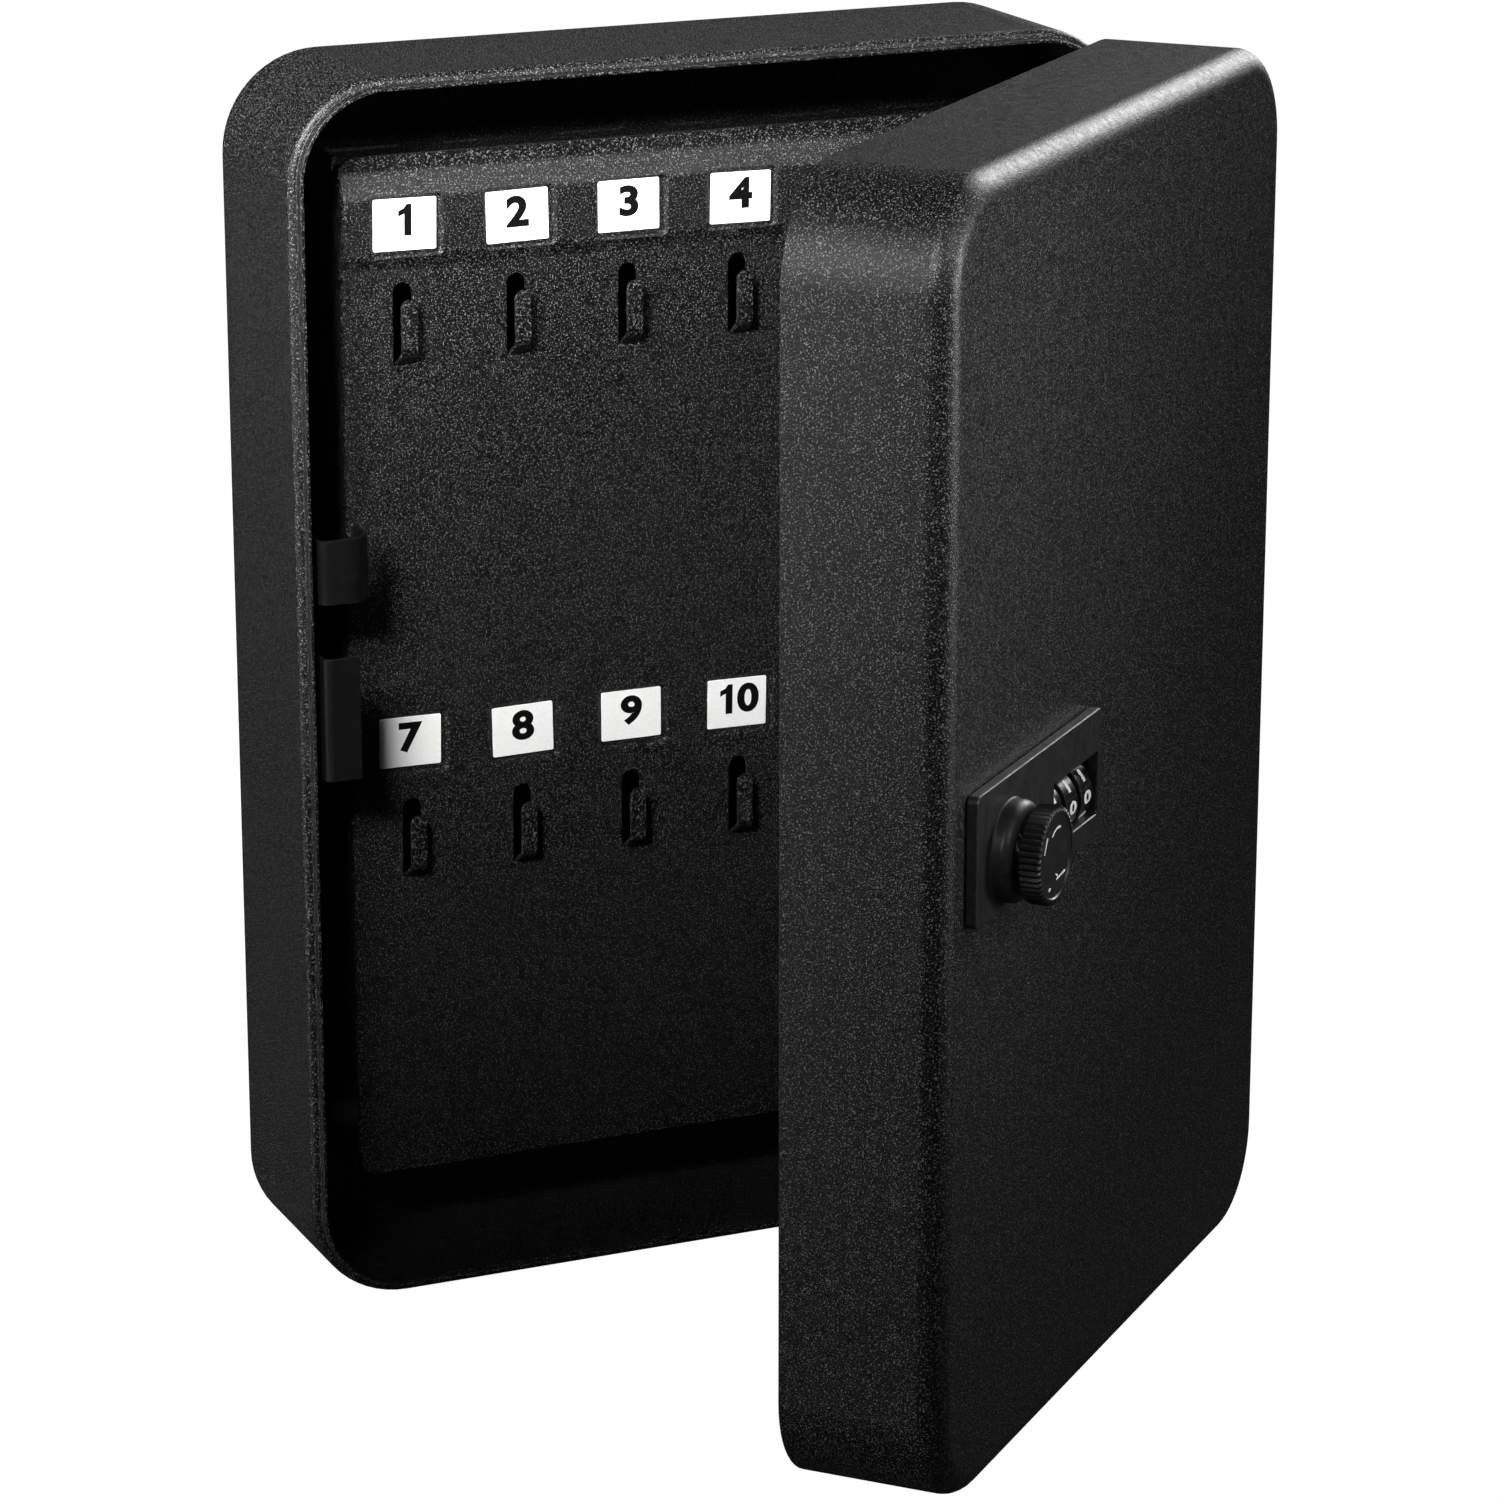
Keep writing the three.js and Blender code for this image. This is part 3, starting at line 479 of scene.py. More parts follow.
def glyph(character, height, bold, lift, stretch=1.08):
    """One flat digit centred on the origin in (x, y), as a thin solid."""
    if character == "1":
        return flagged_one(height, lift)
    curve = bpy.data.curves.new("lettering", "FONT")
    curve.body = character
    curve.size = height / CAP_HEIGHT
    curve.offset = bold
    curve.extrude = lift
    curve.resolution_u = 6
    obj = bpy.data.objects.new("lettering", curve)
    bpy.context.scene.collection.objects.link(obj)
    bpy.context.view_layer.update()
    graph = bpy.context.evaluated_depsgraph_get()
    mesh = bpy.data.meshes.new_from_object(obj.evaluated_get(graph))
    bpy.data.objects.remove(obj)
    bm = bmesh.new()
    bm.from_mesh(mesh)
    bpy.data.meshes.remove(mesh)
    bmesh.ops.remove_doubles(bm, verts=bm.verts, dist=0.001)
    low = Vector([min(v.co[axis] for v in bm.verts) for axis in range(3)])
    high = Vector([max(v.co[axis] for v in bm.verts) for axis in range(3)])
    bmesh.ops.translate(bm, verts=bm.verts, vec=-(low + high) / 2)
    bmesh.ops.scale(bm, verts=bm.verts, vec=(stretch, height / (high.y - low.y), 1))
    return bm


def lettering(text, height, bold):
    """A number centred on the origin in (x, y)."""
    digits = []
    for i, character in enumerate(text):
        digit = glyph(character, height, bold, LETTER_LIFT)
        shift = (i - (len(text) - 1) / 2) * LETTER_PITCH * height
        bmesh.ops.translate(digit, verts=digit.verts, vec=(shift, 0, 0))
        digits.append(digit)
    return merged(*digits)


# ---- case ----


def pan(profile):
    """A pressed pan, from (inset, y) pairs that run from its outer floor to its inner floor."""
    return solid([
        [(x, y, z) for x, z in rounded(WIDTH / 2 - inset, HEIGHT / 2 - inset, CORNER - inset)]
        for inset, y in profile
    ])


def hinge_notches(y_front, y_back):
    """The openings in the right wall for the two hinges."""
    half = HINGE_LENGTH / 2 + NOTCH_CLEARANCE
    xs = (WIDTH / 2 - 6, WIDTH / 2 + 6)
    ys = (y_front, y_back)
    return [block(xs, ys, (end * HINGE_Z - half, end * HINGE_Z + half)) for end in (-1, 1)]


def case_shell():
    """The case: a pan with a stepped lip, six shallow pockets and four wall holes."""
    ease, fillet, inner = 0.25, 0.3, LIP_STEP + LIP_SHEET
    step = -CASE_DEPTH
    profile = (
        arc(CASE_EDGE, -CASE_EDGE, CASE_EDGE, 90, 180, 6)
        + arc(CASE_EDGE, step + CASE_EDGE, CASE_EDGE, 180, 270, 7)
        + arc(LIP_STEP - fillet, step - fillet, fillet, 90, 0, 4)
        + arc(LIP_STEP + ease, LIP_FRONT + ease, ease, 180, 270, 3)
        + arc(inner - ease, LIP_FRONT + ease, ease, 270, 360, 3)
        + arc(inner - LIP_SHEET, step + SHEET - LIP_SHEET, LIP_SHEET, 0, 90, 5)
        + arc(SHEET + fillet, step + SHEET + fillet, fillet, 270, 180, 4)
        + arc(CASE_EDGE, -CASE_EDGE, CASE_EDGE - SHEET, 180, 90, 4)
    )
    cuts = hinge_notches(LIP_FRONT - 1, HINGE_Y + BARREL + 1)
    half_x, half_z = BACK_WIDTH / 2, (BACK_HIGH - BACK_LOW) / 2
    levels = ((0.9, -SHEET - 1), (0.5, -SHEET), (0.1, -SHEET + 0.2), (-0.3, -SHEET + BACK_DEPTH))
    for column in range(COLUMNS):
        centre = ((column - (COLUMNS - 1) / 2) * BACK_PITCH, BACK_LOW + half_z)

        def pocket(offset, centre=centre):
            return rounded(half_x + offset, half_z + offset, 1.2 + offset, centre, 4)

        cuts.append(frontal(pocket, levels))
    levels = ((0.5, -SHEET - 0.3), (0, -SHEET + 0.2), (0, -0.2), (0.5, 0.3))
    for side, end in CORNERS:
        centre = (side * WALL_HOLE_X, end * WALL_HOLE_Z)

        def hole(offset, centre=centre):
            radius = WALL_HOLE_RADIUS + offset
            return rounded(radius, radius, radius - 0.01, centre, 8)

        cuts.append(frontal(hole, levels))
    piece("case_pan", pan(profile), POWDER, "case", ["case_shell"], cuts)


# ---- hook panel ----


def eased(value):
    """A smooth step from 0 to 1."""
    value = min(max(value, 0.0), 1.0)
    return value * value * (3 - 2 * value)


def panel_face(z):
    """The y of the panel's front at a height: flat, a crease, and the raised band at the top."""
    rise = eased((z - BEAD_LOW) / (BEAD_LOW_FACE - BEAD_LOW))
    fall = eased((z - BEAD_ROLL) / (BEAD_TOP - BEAD_ROLL))
    crease = CREASE_DEPTH * max(0.0, 1 - abs(z - CREASE_Z) / CREASE_HALF)
    return PANEL_FRONT - BEAD_RISE * rise + BEAD_FALL * fall - crease


def panel_section(z):
    """The panel cut level at a height: its face, and a flange down each side to its rear."""
    outer, inner = PANEL_BEND, PANEL_BEND - PANEL_SHEET
    x, y = PANEL_HALF_WIDTH - PANEL_BEND, panel_face(z) + PANEL_BEND
    line = [(-PANEL_HALF_WIDTH, PANEL_REAR)]
    line += arc(-x, y, outer, 180, 270, 6) + arc(x, y, outer, 270, 360, 6)
    line += [(PANEL_HALF_WIDTH, PANEL_REAR), (PANEL_HALF_WIDTH - PANEL_SHEET, PANEL_REAR)]
    line += arc(x, y, inner, 360, 270, 6) + arc(-x, y, inner, 270, 180, 6)
    line += [(PANEL_SHEET - PANEL_HALF_WIDTH, PANEL_REAR)]
    return [(px, py, z) for px, py in line]


def column_x(column):
    """The middle of a column of labels and hooks."""
    return (column - (COLUMNS - 1) / 2) * COLUMN_PITCH


def hook_panel():
    """The panel with its feet, its slots and its label pockets."""
    spread = [i / 8 for i in range(9)]
    heights = [-PANEL_HALF_HEIGHT, -PANEL_HALF_HEIGHT / 2, 0]
    heights += [CREASE_Z - CREASE_HALF, CREASE_Z, CREASE_Z + CREASE_HALF]
    heights += [BEAD_LOW + s * (BEAD_LOW_FACE - BEAD_LOW) for s in spread]
    heights += [BEAD_ROLL + s * (BEAD_TOP - BEAD_ROLL) for s in spread]
    heights.append(PANEL_HALF_HEIGHT)
    feet = []
    for side, end in CORNERS:
        xs = sorted((side * (PANEL_HALF_WIDTH - 0.5), side * (PANEL_HALF_WIDTH - FOOT_REACH)))
        ys = (PANEL_REAR - PANEL_SHEET, PANEL_REAR)
        low = end * FOOT_Z - FOOT_HEIGHT / 2
        feet.append(block(xs, ys, (low, low + FOOT_HEIGHT)))
    cuts = []
    for row in range(ROWS):
        for column in range(COLUMNS):
            cuts.append(hook_slot(column_x(column), SLOT_TOP - row * ROW_PITCH))
            cuts.append(label_pocket(column_x(column), row))
    cuts += [panel_corner(side, end) for side, end in CORNERS]
    panel = solid([panel_section(z) for z in heights])
    piece("hook_panel_sheet", panel, POWDER, "case", ["hook_panel"], cuts, feet)


def panel_corner(side, end):
    """The waste outside the rounded corner of the panel's face and flange."""
    x, z = PANEL_HALF_WIDTH - PANEL_CORNER, PANEL_HALF_HEIGHT - PANEL_CORNER
    line = [(PANEL_HALF_WIDTH + 1, PANEL_HALF_HEIGHT + 1), (x, PANEL_HALF_HEIGHT + 1)]
    line += arc(x, z, PANEL_CORNER, 90, 0, 8) + [(PANEL_HALF_WIDTH + 1, z)]
    ys = (PANEL_FRONT - 3, PANEL_FRONT + PANEL_BEND + 2.5)
    return solid([[(side * px, y, end * pz) for px, pz in line] for y in ys])


def hook_slot(x, top):
    """The cutter for one slot, with a round top and a rolled edge."""
    def outline(offset):
        half = SLOT_WIDTH / 2 + offset
        bottom = top - SLOT_LENGTH - offset
        foot = [(x - half, bottom), (x + half, bottom)]
        return foot + arc(x, top - SLOT_WIDTH / 2, half, 0, 180, 14)

    front = PANEL_FRONT
    rolled = ((0.55, front - 0.25), (0.3, front), (0.12, front + 0.12), (0, front + 0.35))
    return frontal(outline, (*rolled, (0, front + PANEL_SHEET + 1)))


def row_front(row):
    """The y of the panel's front behind a row of labels. The top row is on the raised band."""
    return PANEL_FRONT - (BEAD_RISE if row == 0 else 0)


def label_pocket(x, row):
    """The cutter for the recess that a label lies in, with sloped sides."""
    centre = (x + POCKET_SHIFT, LABEL_TOP_Z - row * ROW_PITCH - POCKET_SHIFT)
    half_x, half_z = POCKET_WIDTH / 2, POCKET_HEIGHT / 2
    front = row_front(row)

    def outline(offset):
        return rounded(half_x + offset, half_z + offset, 0.8 + offset, centre, 4)

    rolled = ((1.1, front - 0.4), (0.75, front), (0.55, front + 0.07), (-0.05, front + 0.4))
    return frontal(outline, (*rolled, (-0.2, front + POCKET_DEPTH)))


def hook(x, top):
    """A tongue lanced from the panel: its root is at the foot of the slot, its tip is round."""
    sheet_y = PANEL_FRONT + PANEL_SHEET / 2
    root, tip = top - SLOT_LENGTH, top - HOOK_DROP
    half = HOOK_WIDTH / 2
    lip = sheet_y - HOOK_REACH
    path = filleted([
        (sheet_y, root - 0.8),
        (sheet_y, root + 0.3),
        (sheet_y - HOOK_REACH * 0.25, root + 0.9),
        (sheet_y - HOOK_REACH * 0.8, root + 2.2),
        (lip, root + 3.2),
        (lip, tip - half),
    ], 1.2)
    straight = len(path)
    turns = [RIGHT_ANGLE * k / 9 for k in range(1, 10)]
    path += [Vector((lip, tip - half + half * math.sin(turn))) for turn in turns]

    def span(i):
        reach = half if i < straight else max(half * math.cos(turns[i - straight]), 0.25)
        return x - reach, x + reach

    return bent_sheet(path, HOOK_SHEET - 0.06, span, lambda y, z, side: (side, y, z), 0.22)


def hooks():
    """The twelve hooks, merged into one piece."""
    places = [(column, row) for row in range(ROWS) for column in range(COLUMNS)]
    every = [hook(column_x(column), SLOT_TOP - row * ROW_PITCH) for column, row in places]
    piece("lanced_hooks", merged(*every), POWDER, "case")


def labels():
    """The twelve numbered paper slips, each a little out of true, with their printing."""
    for index in range(ROWS * COLUMNS):
        row, column = divmod(index, COLUMNS)
        number = index + 1
        tilt = Matrix.Rotation(math.radians(1.1 * math.sin(2.1 * number)), 4, "Y")
        nudge = Vector((0.25 * math.sin(1.7 * number), 0, 0.2 * math.sin(2.9 * number)))
        back = row_front(row) + POCKET_DEPTH - 0.05
        middle = Vector((column_x(column), back, LABEL_TOP_Z - row * ROW_PITCH)) + nudge
        put = Matrix.Translation(middle) @ tilt
        half_x, half_z = LABEL_WIDTH / 2, LABEL_HEIGHT / 2

        def outline(offset):
            return rounded(half_x + offset, half_z + offset, 0.35 + offset, (0, 0), 3)

        face = -LABEL_THICKNESS
        slip = frontal(outline, ((0, 0), (0, face + LABEL_EASE), (-LABEL_EASE, face)))
        bmesh.ops.transform(slip, matrix=put, verts=slip.verts)
        name = f"{number:02d}"
        piece(f"label_{name}", slip, PAPER, "case", [f"number_label_{name}"])
        digits = lettering(str(number), LABEL_DIGIT_HEIGHT, LABEL_DIGIT_BOLD)
        upright = Matrix.Rotation(RIGHT_ANGLE, 4, "X")
        raised = Matrix.Translation((0, face, LABEL_DIGIT_RISE)) @ upright
        bmesh.ops.transform(digits, matrix=put @ raised, verts=digits.verts)
        piece(f"label_print_{name}", digits, BLACK_INK, "case")


# ---- brackets ----


def upright_sheet(path, thickness, low, high, ease):
    """A strip of sheet that stands upright, bent along a path seen from above."""
    return bent_sheet(path, thickness, lambda i: (low, high), lambda x, y, z: (x, y, z), ease)


def bracket(name, node, left, front, beyond, low, high):
    """A strip that runs out along the left wall, steps in and turns to the right. beyond gives
    the points past the turn."""
    wall = -WIDTH / 2 + SHEET + JOIN_GAP + BRACKET_SHEET / 2
    x, y = left + BRACKET_SHEET / 2, front + BRACKET_SHEET / 2
    start = [(wall, BRACKET_REAR), (wall, BRACKET_BEND), (x, BRACKET_BEND - 3.5), (x, y)]
    path = filleted([*start, *beyond(y)], 1.3)
    sheet = upright_sheet(path, BRACKET_SHEET, low, high, 0.25)
    piece(name, sheet, BRACKET_BLACK_AND_SHADE, "case", [node])


def brackets():
    """The flat keeper plate that takes the latch, and the curled strap above it."""
    def straight(y):
        return [(KEEPER_RIGHT, y)]

    def curl(y):
        end = (STRAP_RIGHT - 0.4, y + STRAP_CURL + STRAP_TAIL)
        return arc(STRAP_RIGHT - STRAP_CURL, y + STRAP_CURL, STRAP_CURL, -90, 0, 9) + [end]

    bracket(
        "keeper_plate", "latch_keeper", KEEPER_LEFT, KEEPER_FRONT, straight,
        KEEPER_LOW, KEEPER_HIGH)
    bracket(
        "guide_strap_sheet", "guide_strap", STRAP_LEFT, STRAP_FRONT, curl,
        STRAP_LOW, STRAP_HIGH)


# ---- hinges ----


def hinge_leaf(z, side, knuckles):
    """A leaf rolled from one sheet, with the gaps between its knuckles cut away."""
    plate_x = WIDTH / 2 - SHEET - JOIN_GAP - LEAF / 2
    roll = BARREL - LEAF / 2
    web_y = HINGE_Y + side * roll
    plate = [(plate_x, web_y + side * LEAF_DEPTH), (plate_x, web_y), (HINGE_X - 0.5, web_y)]
    path = filleted(plate, 1)
    path += [Vector(point) for point in arc(HINGE_X, HINGE_Y, roll, 90 * side, -215 * side, 26)]
    low, high = z - HINGE_LENGTH / 2, z + HINGE_LENGTH / 2
    sheet = upright_sheet(path, LEAF, low, high, 0.15)
    margin = 1
    edges = [z + edge for knuckle in knuckles for edge in knuckle]
    edges = [low - margin, *edges, high + margin]
    xs = (HINGE_X - BARREL - 0.6, HINGE_X + BARREL + margin)
    ys = (HINGE_Y - BARREL - margin, HINGE_Y + BARREL + margin)
    gaps = [(a, b) for a, b in zip(edges[::2], edges[1::2]) if b - a > margin + 0.01]
    return sheet, [block(xs, ys, gap) for gap in gaps]


def hinges():
    """Two hinges of three knuckles: the outer two are the case's, the middle one the door's."""
    half, third = HINGE_LENGTH / 2, HINGE_LENGTH / 6
    for name, z in (("upper", HINGE_Z), ("lower", -HINGE_Z)):
        sheet, gaps = hinge_leaf(z, 1, [(-half, -third), (third, half)])
        piece(
            f"case_leaf_{name}", sheet, POWDER, "case",
            [f"hinge_leaf_case_{name}"], gaps)
        sheet, gaps = hinge_leaf(z, -1, [(KNUCKLE_GAP - third, third - KNUCKLE_GAP)])
        piece(
            f"door_leaf_{name}", sheet, POWDER, "door",
            [f"hinge_leaf_door_{name}"], gaps, swung=True)
        head = BARREL - 0.2
        low, high = z - half, z + half
        seat, crown = high + 0.3, high + 0.8
        profile = [(PIN - 0.3, low - 0.8), (PIN, low - 0.5), (PIN, seat), (head, seat)]
        profile += [(head, crown)]
        dome = (0.5, 0.9, 1.25)
        profile += [(head * math.cos(t), crown + 0.5 * math.sin(t)) for t in dome]
        pin = turned(profile, about_hinge, 28)
        piece(f"pin_{name}", pin, ZINC, "case", [f"hinge_pin_{name}"])


# ---- door ----


def door_pan():
    """The door: a deep pan with a rounded front edge and an opening for the lock."""
    ease = 0.3
    edge = FACE_Y + DOOR_EDGE
    profile = (
        arc(DOOR_EDGE, edge, DOOR_EDGE, 270, 180, 14)
        + arc(ease, DOOR_RIM - ease, ease, 180, 90, 3)
        + arc(SHEET - ease, DOOR_RIM - ease, ease, 90, 0, 3)
        + arc(DOOR_EDGE, edge, DOOR_EDGE - SHEET, 180, 270, 10)
    )
    cut_out = block(
        (HOUSING_LEFT - CUT_OUT_GAP, HOUSING_RIGHT + CUT_OUT_GAP),
        (FACE_Y - 1, FACE_Y + 3),
        (HOUSING_LOW - CUT_OUT_GAP, HOUSING_HIGH + CUT_OUT_GAP),
    )
    cuts = [cut_out, *hinge_notches(HINGE_Y - BARREL - 1, DOOR_RIM + 1)]
    piece("door_pan", pan(profile), POWDER, "door", ["door_shell"], cuts, swung=True)


# ---- combination lock ----


def faceplate():
    """The lock's front plate, with the round boss behind the knob and the dials' window."""
    centre = ((PLATE_LEFT + PLATE_RIGHT) / 2, PLATE_Z)
    half = (PLATE_RIGHT - PLATE_LEFT) / 2

    def outline(offset):
        return rounded(half + offset, PLATE_HEIGHT / 2 + offset, 1.5 + offset, centre, 8)

    levels = [(0, PLATE_BACK)]
    levels += arc(-PLATE_EDGE, PLATE_FRONT + PLATE_EDGE, PLATE_EDGE, 0, -90, 5)
    plate = frontal(outline, levels)
    foot = arc(BOSS_RADIUS + 0.5, 0.5, 0.5, 270, 180, 4)
    shoulder = arc(BOSS_RADIUS - BOSS_ROUND, BOSS_HEIGHT - BOSS_ROUND, BOSS_ROUND, 0, 90, 9)
    recess = [(5.6, BOSS_HEIGHT), (5.2, BOSS_HEIGHT - 0.4)]
    profile = [(BOSS_RADIUS + 0.5, -0.4), *foot, *shoulder, *recess]
    boss = turned([(r, PLATE_FRONT - ahead) for r, ahead in profile], about_knob, 72)
    window_centre = ((WINDOW_LEFT + WINDOW_RIGHT) / 2, (WINDOW_LOW + WINDOW_HIGH) / 2)
    half_x, half_z = (WINDOW_RIGHT - WINDOW_LEFT) / 2, (WINDOW_HIGH - WINDOW_LOW) / 2

    def window(offset):
        return rounded(half_x + offset, half_z + offset, 0.5 + offset, window_centre, 5)

    front, beyond = PLATE_FRONT, FACE_Y + 1
    rolled = ((0.5, front - 0.3), (0.2, front), (0.06, front + 0.14), (0, front + 0.35))
    opening = frontal(window, (*rolled, (0, beyond)))
    ends = (front - BOSS_HEIGHT - 1, beyond)
    bore = turned([(SPINDLE_BORE, y) for y in ends], about_knob, 40)
    piece(
        "lock_plate", plate, PLATE_PLASTIC, "door",
        ["lock_faceplate"], [opening, bore], [boss], swung=True)


def knob():
    """The finger knob: a ridged rim and a face sunk a little below it."""
    def ripple(angle):
        wave = 0.5 - 0.5 * math.cos(KNOB_RIDGES * angle)
        return 1 - RIDGE_DEPTH / KNOB_RADIUS * wave ** 0.7

    back, front = KNOB_BACK, KNOB_BACK - KNOB_DEPTH
    bore, rim = SPINDLE_BORE, KNOB_RADIUS
    profile = [(bore, back - KNOB_SOCKET), (bore, back - 0.3), (bore + 0.3, back)]
    profile += [(rim - 1, back), (rim - 0.35, back - 0.1, True), (rim, back - 0.45, True)]
    profile += [(rim, front + 0.6, True), (rim - 0.12, front + 0.3, True)]
    profile += [(rim - 0.5, front + 0.05, True), (rim - 0.95, front), (rim - 1.25, front + 0.06)]
    profile += [(rim - 1.45, front + 0.3), (rim - 1.8, front + 0.34), (rim - 4, front + 0.3)]
    profile.append((2, front + 0.25))
    body = turned(profile, about_knob, KNOB_RIDGES * 8, ripple)
    piece("knob_grip", body, KNOB_PLASTIC, "knob", ["knob"], swung=True, angle=38)


def knob_marks():
    """Two short arcs, a small arrow and a dash, printed on the knob's face."""
    y = KNOB_BACK - KNOB_DEPTH + 0.31
    marks = []

    def place(across, up, side):
        return (KNOB_X + across, y + side, LOCK_Z + up)

    def stroke(points, width):
        path = [Vector(point) for point in points]
        marks.append(bent_sheet(path, width, lambda i: (-0.05, 0.09), place, 0.02))

    stroke(arc(1.2, 0.2, 4.9, 74, 128, 12), 0.4)
    stroke(arc(0.6, 0.2, 6.3, 137, 166, 8), 0.4)
    stroke([(5, -4.1), (0.6, -4.6)], 0.4)
    stroke([(0.1, -3.4), (1.3, -4.1)], 0.35)
    stroke([(-3.4, -5.7), (-2.4, -5.6)], 0.5)
    piece("knob_marks", merged(*marks), WHITE_INK, "knob", swung=True)


def wrapped_digit(digit, x, centre):
    """A digit bent round the wheel's rim, after level cuts that let it bend."""
    character = "I" if digit == 1 else str(digit)
    bm = glyph(character, DIGIT_HEIGHT, DIGIT_BOLD, DIGIT_LIFT, DIGIT_STRETCH)
    for cut in range(-3, 4):
        geometry = bm.verts[:] + bm.edges[:] + bm.faces[:]
        level = (0, cut * 0.4, 0)
        bmesh.ops.bisect_plane(bm, geom=geometry, plane_co=level, plane_no=(0, 1, 0))
    for vertex in bm.verts:
        across, up, out = vertex.co
        vertex.co = about_dial(WHEEL_RADIUS + out, x + across, centre + up / WHEEL_RADIUS)
    return bm


def dial_wheel(index):
    """A number wheel with rounded rims and a groove between each pair of digits."""
    x = WHEEL_FIRST_X + index * WHEEL_PITCH
    low, high = x - WHEEL_WIDTH / 2, x + WHEEL_WIDTH / 2
    step = 2 * math.pi / DIGITS

    def ripple(angle):
        away = abs(angle % step - step / 2)
        return 1 - GROOVE / WHEEL_RADIUS * max(0.0, 1 - away / GROOVE_ANGLE)

    rim = WHEEL_RADIUS
    profile = [(WHEEL_BORE, low), (rim - 1.4, low), (rim - 0.4, low, True)]
    profile += [(rim - 0.1, low + 0.12, True), (rim, low + 0.4, True), (rim, high - 0.4, True)]
    profile += [(rim - 0.1, high - 0.12, True), (rim - 0.4, high, True), (rim - 1.4, high)]
    profile.append((WHEEL_BORE, high))
    wheel = turned(profile, about_dial, DIGITS * 18, ripple, closed=True)
    name = f"dial_{index + 1}"
    node = f"dial_wheel_{index + 1}"
    piece(f"{name}_wheel", wheel, WHEEL_PLASTIC, name, [node], swung=True)
    digits = [wrapped_digit(digit, x, digit * step) for digit in range(DIGITS)]
    piece(f"{name}_digits", merged(*digits), WHITE_INK, name, swung=True)


def spindle():
    """The knob's shaft, with a flat for the fence and a screw thread behind the cam."""
    chamfer, sides = 0.3, SPINDLE_SIDES
    front = KNOB_BACK - KNOB_SOCKET + 0.3
    back = CAM_HUB_Y + 6
    start = CAM_HUB_Y + 0.7
    rings = []
    for along in [front, front + chamfer, start - 0.1]:
        radius = SPINDLE_RADIUS - (chamfer if along == front else 0)
        rings.append([about_knob(radius, along, 2 * math.pi * k / sides) for k in range(sides)])
    for i in range(THREAD_RINGS + 1):
        along = start + (back - start) * i / THREAD_RINGS
        end = chamfer if i > THREAD_RINGS - 3 else 0
        ring = []
        for k in range(sides):
            phase = (along / THREAD_PITCH + k / sides) % 1
            depth = THREAD_DEPTH * abs(2 * phase - 1) + end
            ring.append(about_knob(SPINDLE_RADIUS - depth, along, 2 * math.pi * k / sides))
        rings.append(ring)
    flat_ys = (HOUSING_BACK - 5.6, HOUSING_BACK + 0.2)
    flat = block((KNOB_X + SPINDLE_FLAT, KNOB_X + 5), flat_ys, (LOCK_Z - 4, LOCK_Z + 4))
    piece(
        "spindle_shaft", solid(rings), ZINC, "knob",
        ["spindle"], [flat], swung=True)


def softened(name, node, material, body, width):
    """A copy of a CAD node with its edges rounded over."""
    bm = bmesh.new()
    bm.from_mesh(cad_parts[node].data)
    bmesh.ops.remove_doubles(bm, verts=bm.verts, dist=1e-6)
    bmesh.ops.dissolve_limit(bm, angle_limit=math.radians(1), verts=bm.verts, edges=bm.edges)
    obj = as_object(name, bm, material)
    bevel = obj.modifiers.new("ease", "BEVEL")
    bevel.width = width * MM
    bevel.segments = 2
    bevel.limit_method = "ANGLE"
    bevel.angle_limit = math.radians(35)
    apply_modifiers(obj)
    smooth(obj)
    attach(obj, body)
    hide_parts(node)


def lock_works():
    """The pieces behind the door: CAD shapes with softened edges, and three left as they are."""
    softened("housing_body", "lock_housing", PLATE_PLASTIC, "door", 0.5)
    softened("housing_cover", "lock_back_cover", PLATE_PLASTIC, "door", 0.3)
    softened("reset_thumb", "reset_slider", KNOB_PLASTIC, "reset", 0.3)
    softened("cam_arm", "latch_cam", ZINC, "knob", 0.2)
    softened("cam_washer_ring", "cam_washer", ZINC, "knob", 0.15)
    softened("cam_nut_hex", "cam_nut", ZINC, "knob", 0.3)
    for index in (1, 2):
        softened(f"cover_screw_{index}", f"lock_screw_{index}", ZINC, "door", 0.2)
    for node in ("dial_axle", "detent_spring", "fence_bar"):
        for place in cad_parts[node].material_slots:
            place.material = ZINC


case_shell()
hook_panel()
hooks()
labels()
brackets()
hinges()
door_pan()
faceplate()
knob()
knob_marks()
for wheel_index in range(WHEELS):
    dial_wheel(wheel_index)
spindle()
lock_works()


# ---- camera, lights and floor ----


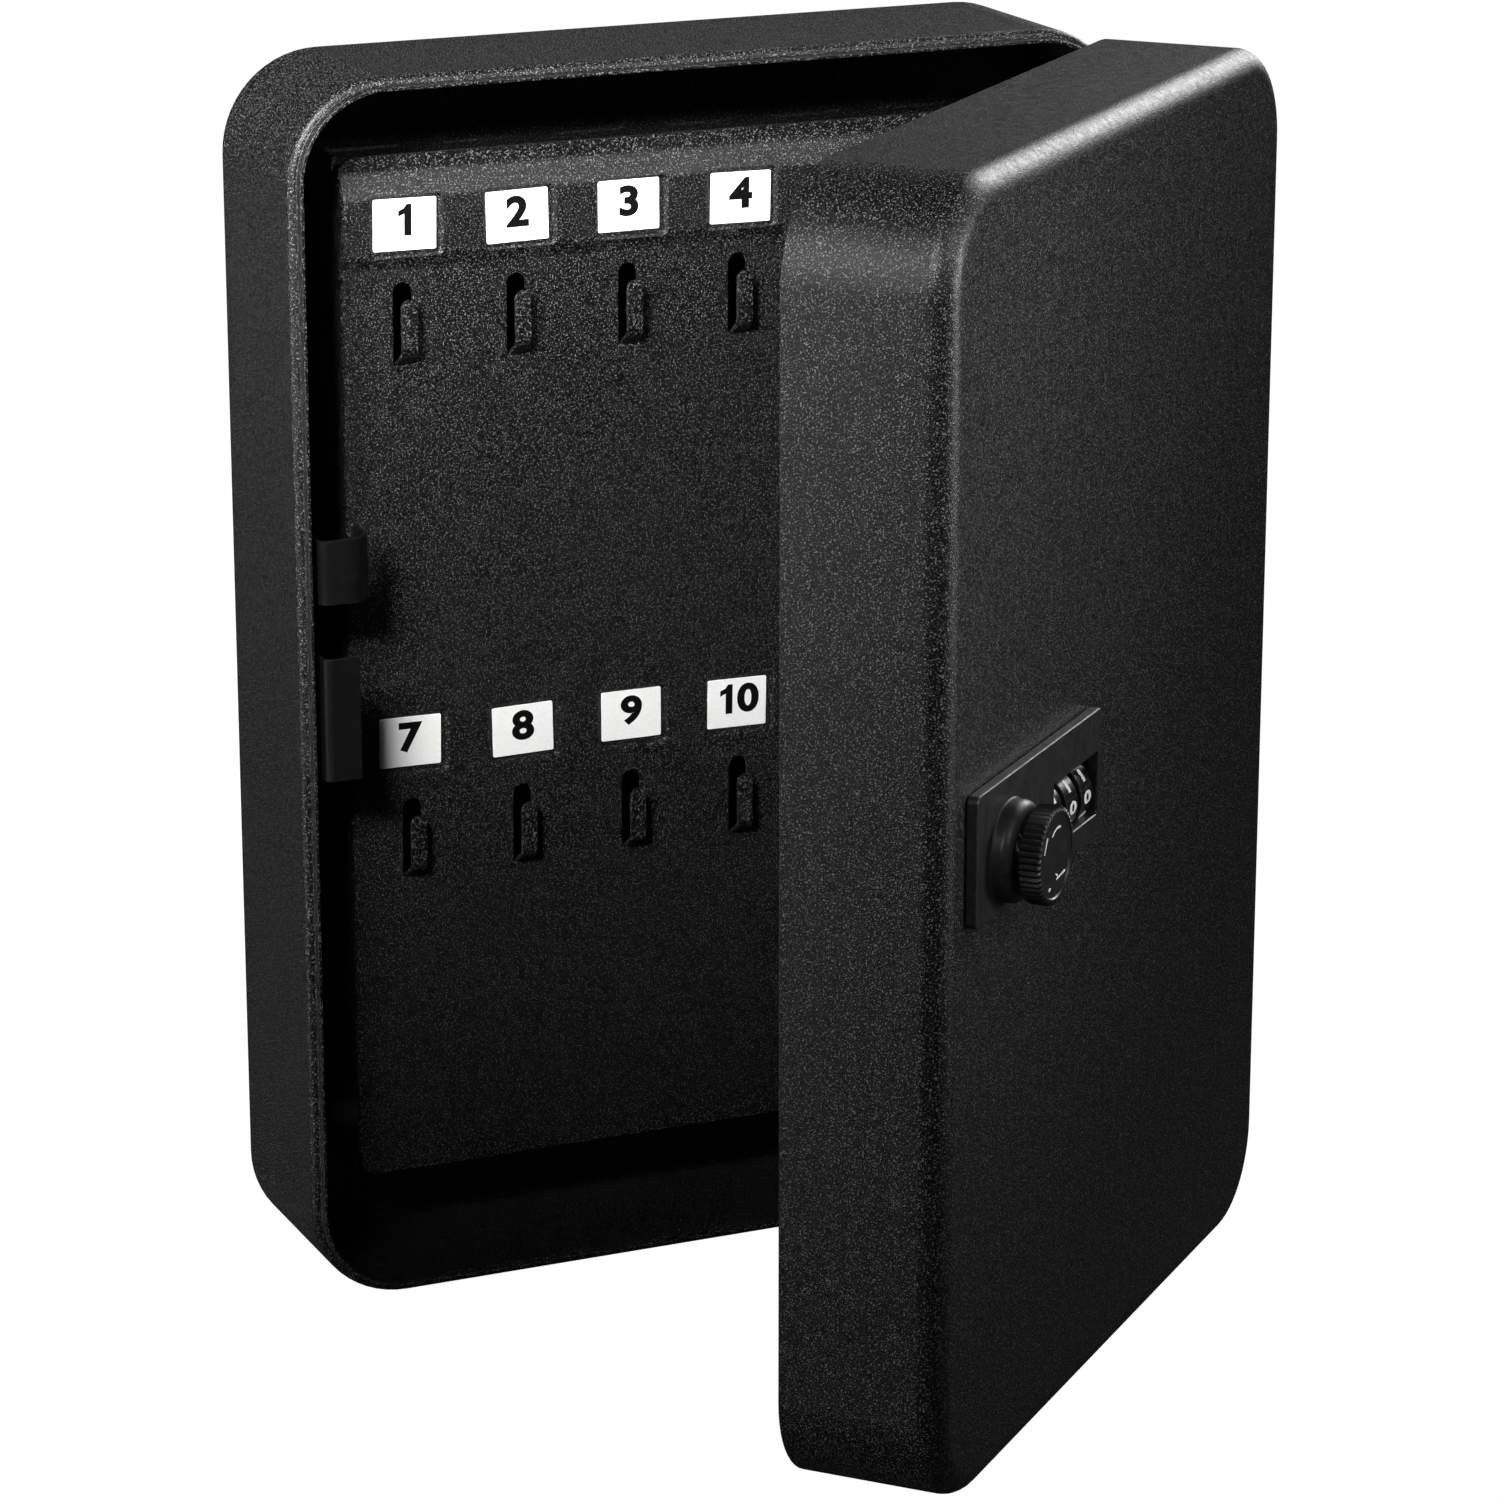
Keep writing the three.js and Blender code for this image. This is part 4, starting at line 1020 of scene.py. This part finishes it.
def camera():
    """The photo's viewpoint."""
    data = bpy.data.cameras.new("camera")
    data.lens = CAMERA_LENS
    data.sensor_width = CAMERA_SENSOR
    obj = bpy.data.objects.new("camera", data)
    obj.location = CAMERA_PLACE
    obj.rotation_euler = (math.radians(CAMERA_TILT), 0, math.radians(CAMERA_TURN))
    bpy.context.scene.collection.objects.link(obj)
    bpy.context.scene.camera = obj


def area_light(name, location, target, size, power, spread):
    """A soft panel of light, aimed at a point."""
    data = bpy.data.lights.new(name, "AREA")
    data.shape = "RECTANGLE"
    data.size, data.size_y = size
    data.energy = power
    data.spread = math.radians(spread)
    obj = bpy.data.objects.new(name, data)
    obj.location = location
    aim = Vector(target) - Vector(location)
    obj.rotation_euler = aim.to_track_quat("-Z", "Y").to_euler()
    bpy.context.scene.collection.objects.link(obj)


def studio():
    """A white surround for the camera and a dim one for the part. The near key light's narrow
    spread fades towards the foot of the box, and the others bring out the door and its edges."""
    world = bpy.data.worlds.new("studio")
    bpy.context.scene.world = world
    world.use_nodes = True
    nodes, links = world.node_tree.nodes, world.node_tree.links
    background = nodes["Background"]
    seen = nodes.new("ShaderNodeLightPath")
    tone = nodes.new("ShaderNodeMix")
    tone.data_type = "RGBA"
    tone.inputs["A"].default_value = DIM
    tone.inputs["B"].default_value = WHITE
    links.new(seen.outputs["Is Camera Ray"], tone.inputs["Factor"])
    links.new(tone.outputs["Result"], background.inputs["Color"])
    for light in LIGHTS:
        area_light(*light)
    bpy.context.scene.view_settings.view_transform = "Standard"


def floor():
    """A pale floor that shows white to the camera and throws little light back on the part."""
    finish = Finish("pale_floor", Metallic=0.0, Roughness=0.9, Specular_IOR_Level=0.1)
    finish.colour(finish.noise(14, 3), (0.3, 0.1), (0.7, 0.12))
    tree, shader = finish.tree, finish.shader
    shader.inputs["Emission Color"].default_value = WHITE
    seen = tree.nodes.new("ShaderNodeLightPath")
    tree.links.new(seen.outputs["Is Camera Ray"], shader.inputs["Emission Strength"])
    bm = bmesh.new()
    bmesh.ops.create_circle(bm, cap_ends=True, radius=FLOOR_RADIUS, segments=96)
    obj = as_object("floor", bm, finish.material)
    obj.location.z = -(HEIGHT / 2 + FLOOR_GAP) * MM
    obj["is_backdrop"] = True


camera()
studio()
floor()
boxes = {"cad": cad_box, "visual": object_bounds()}
{name: [list(corner) for corner in box] for name, box in boxes.items()}
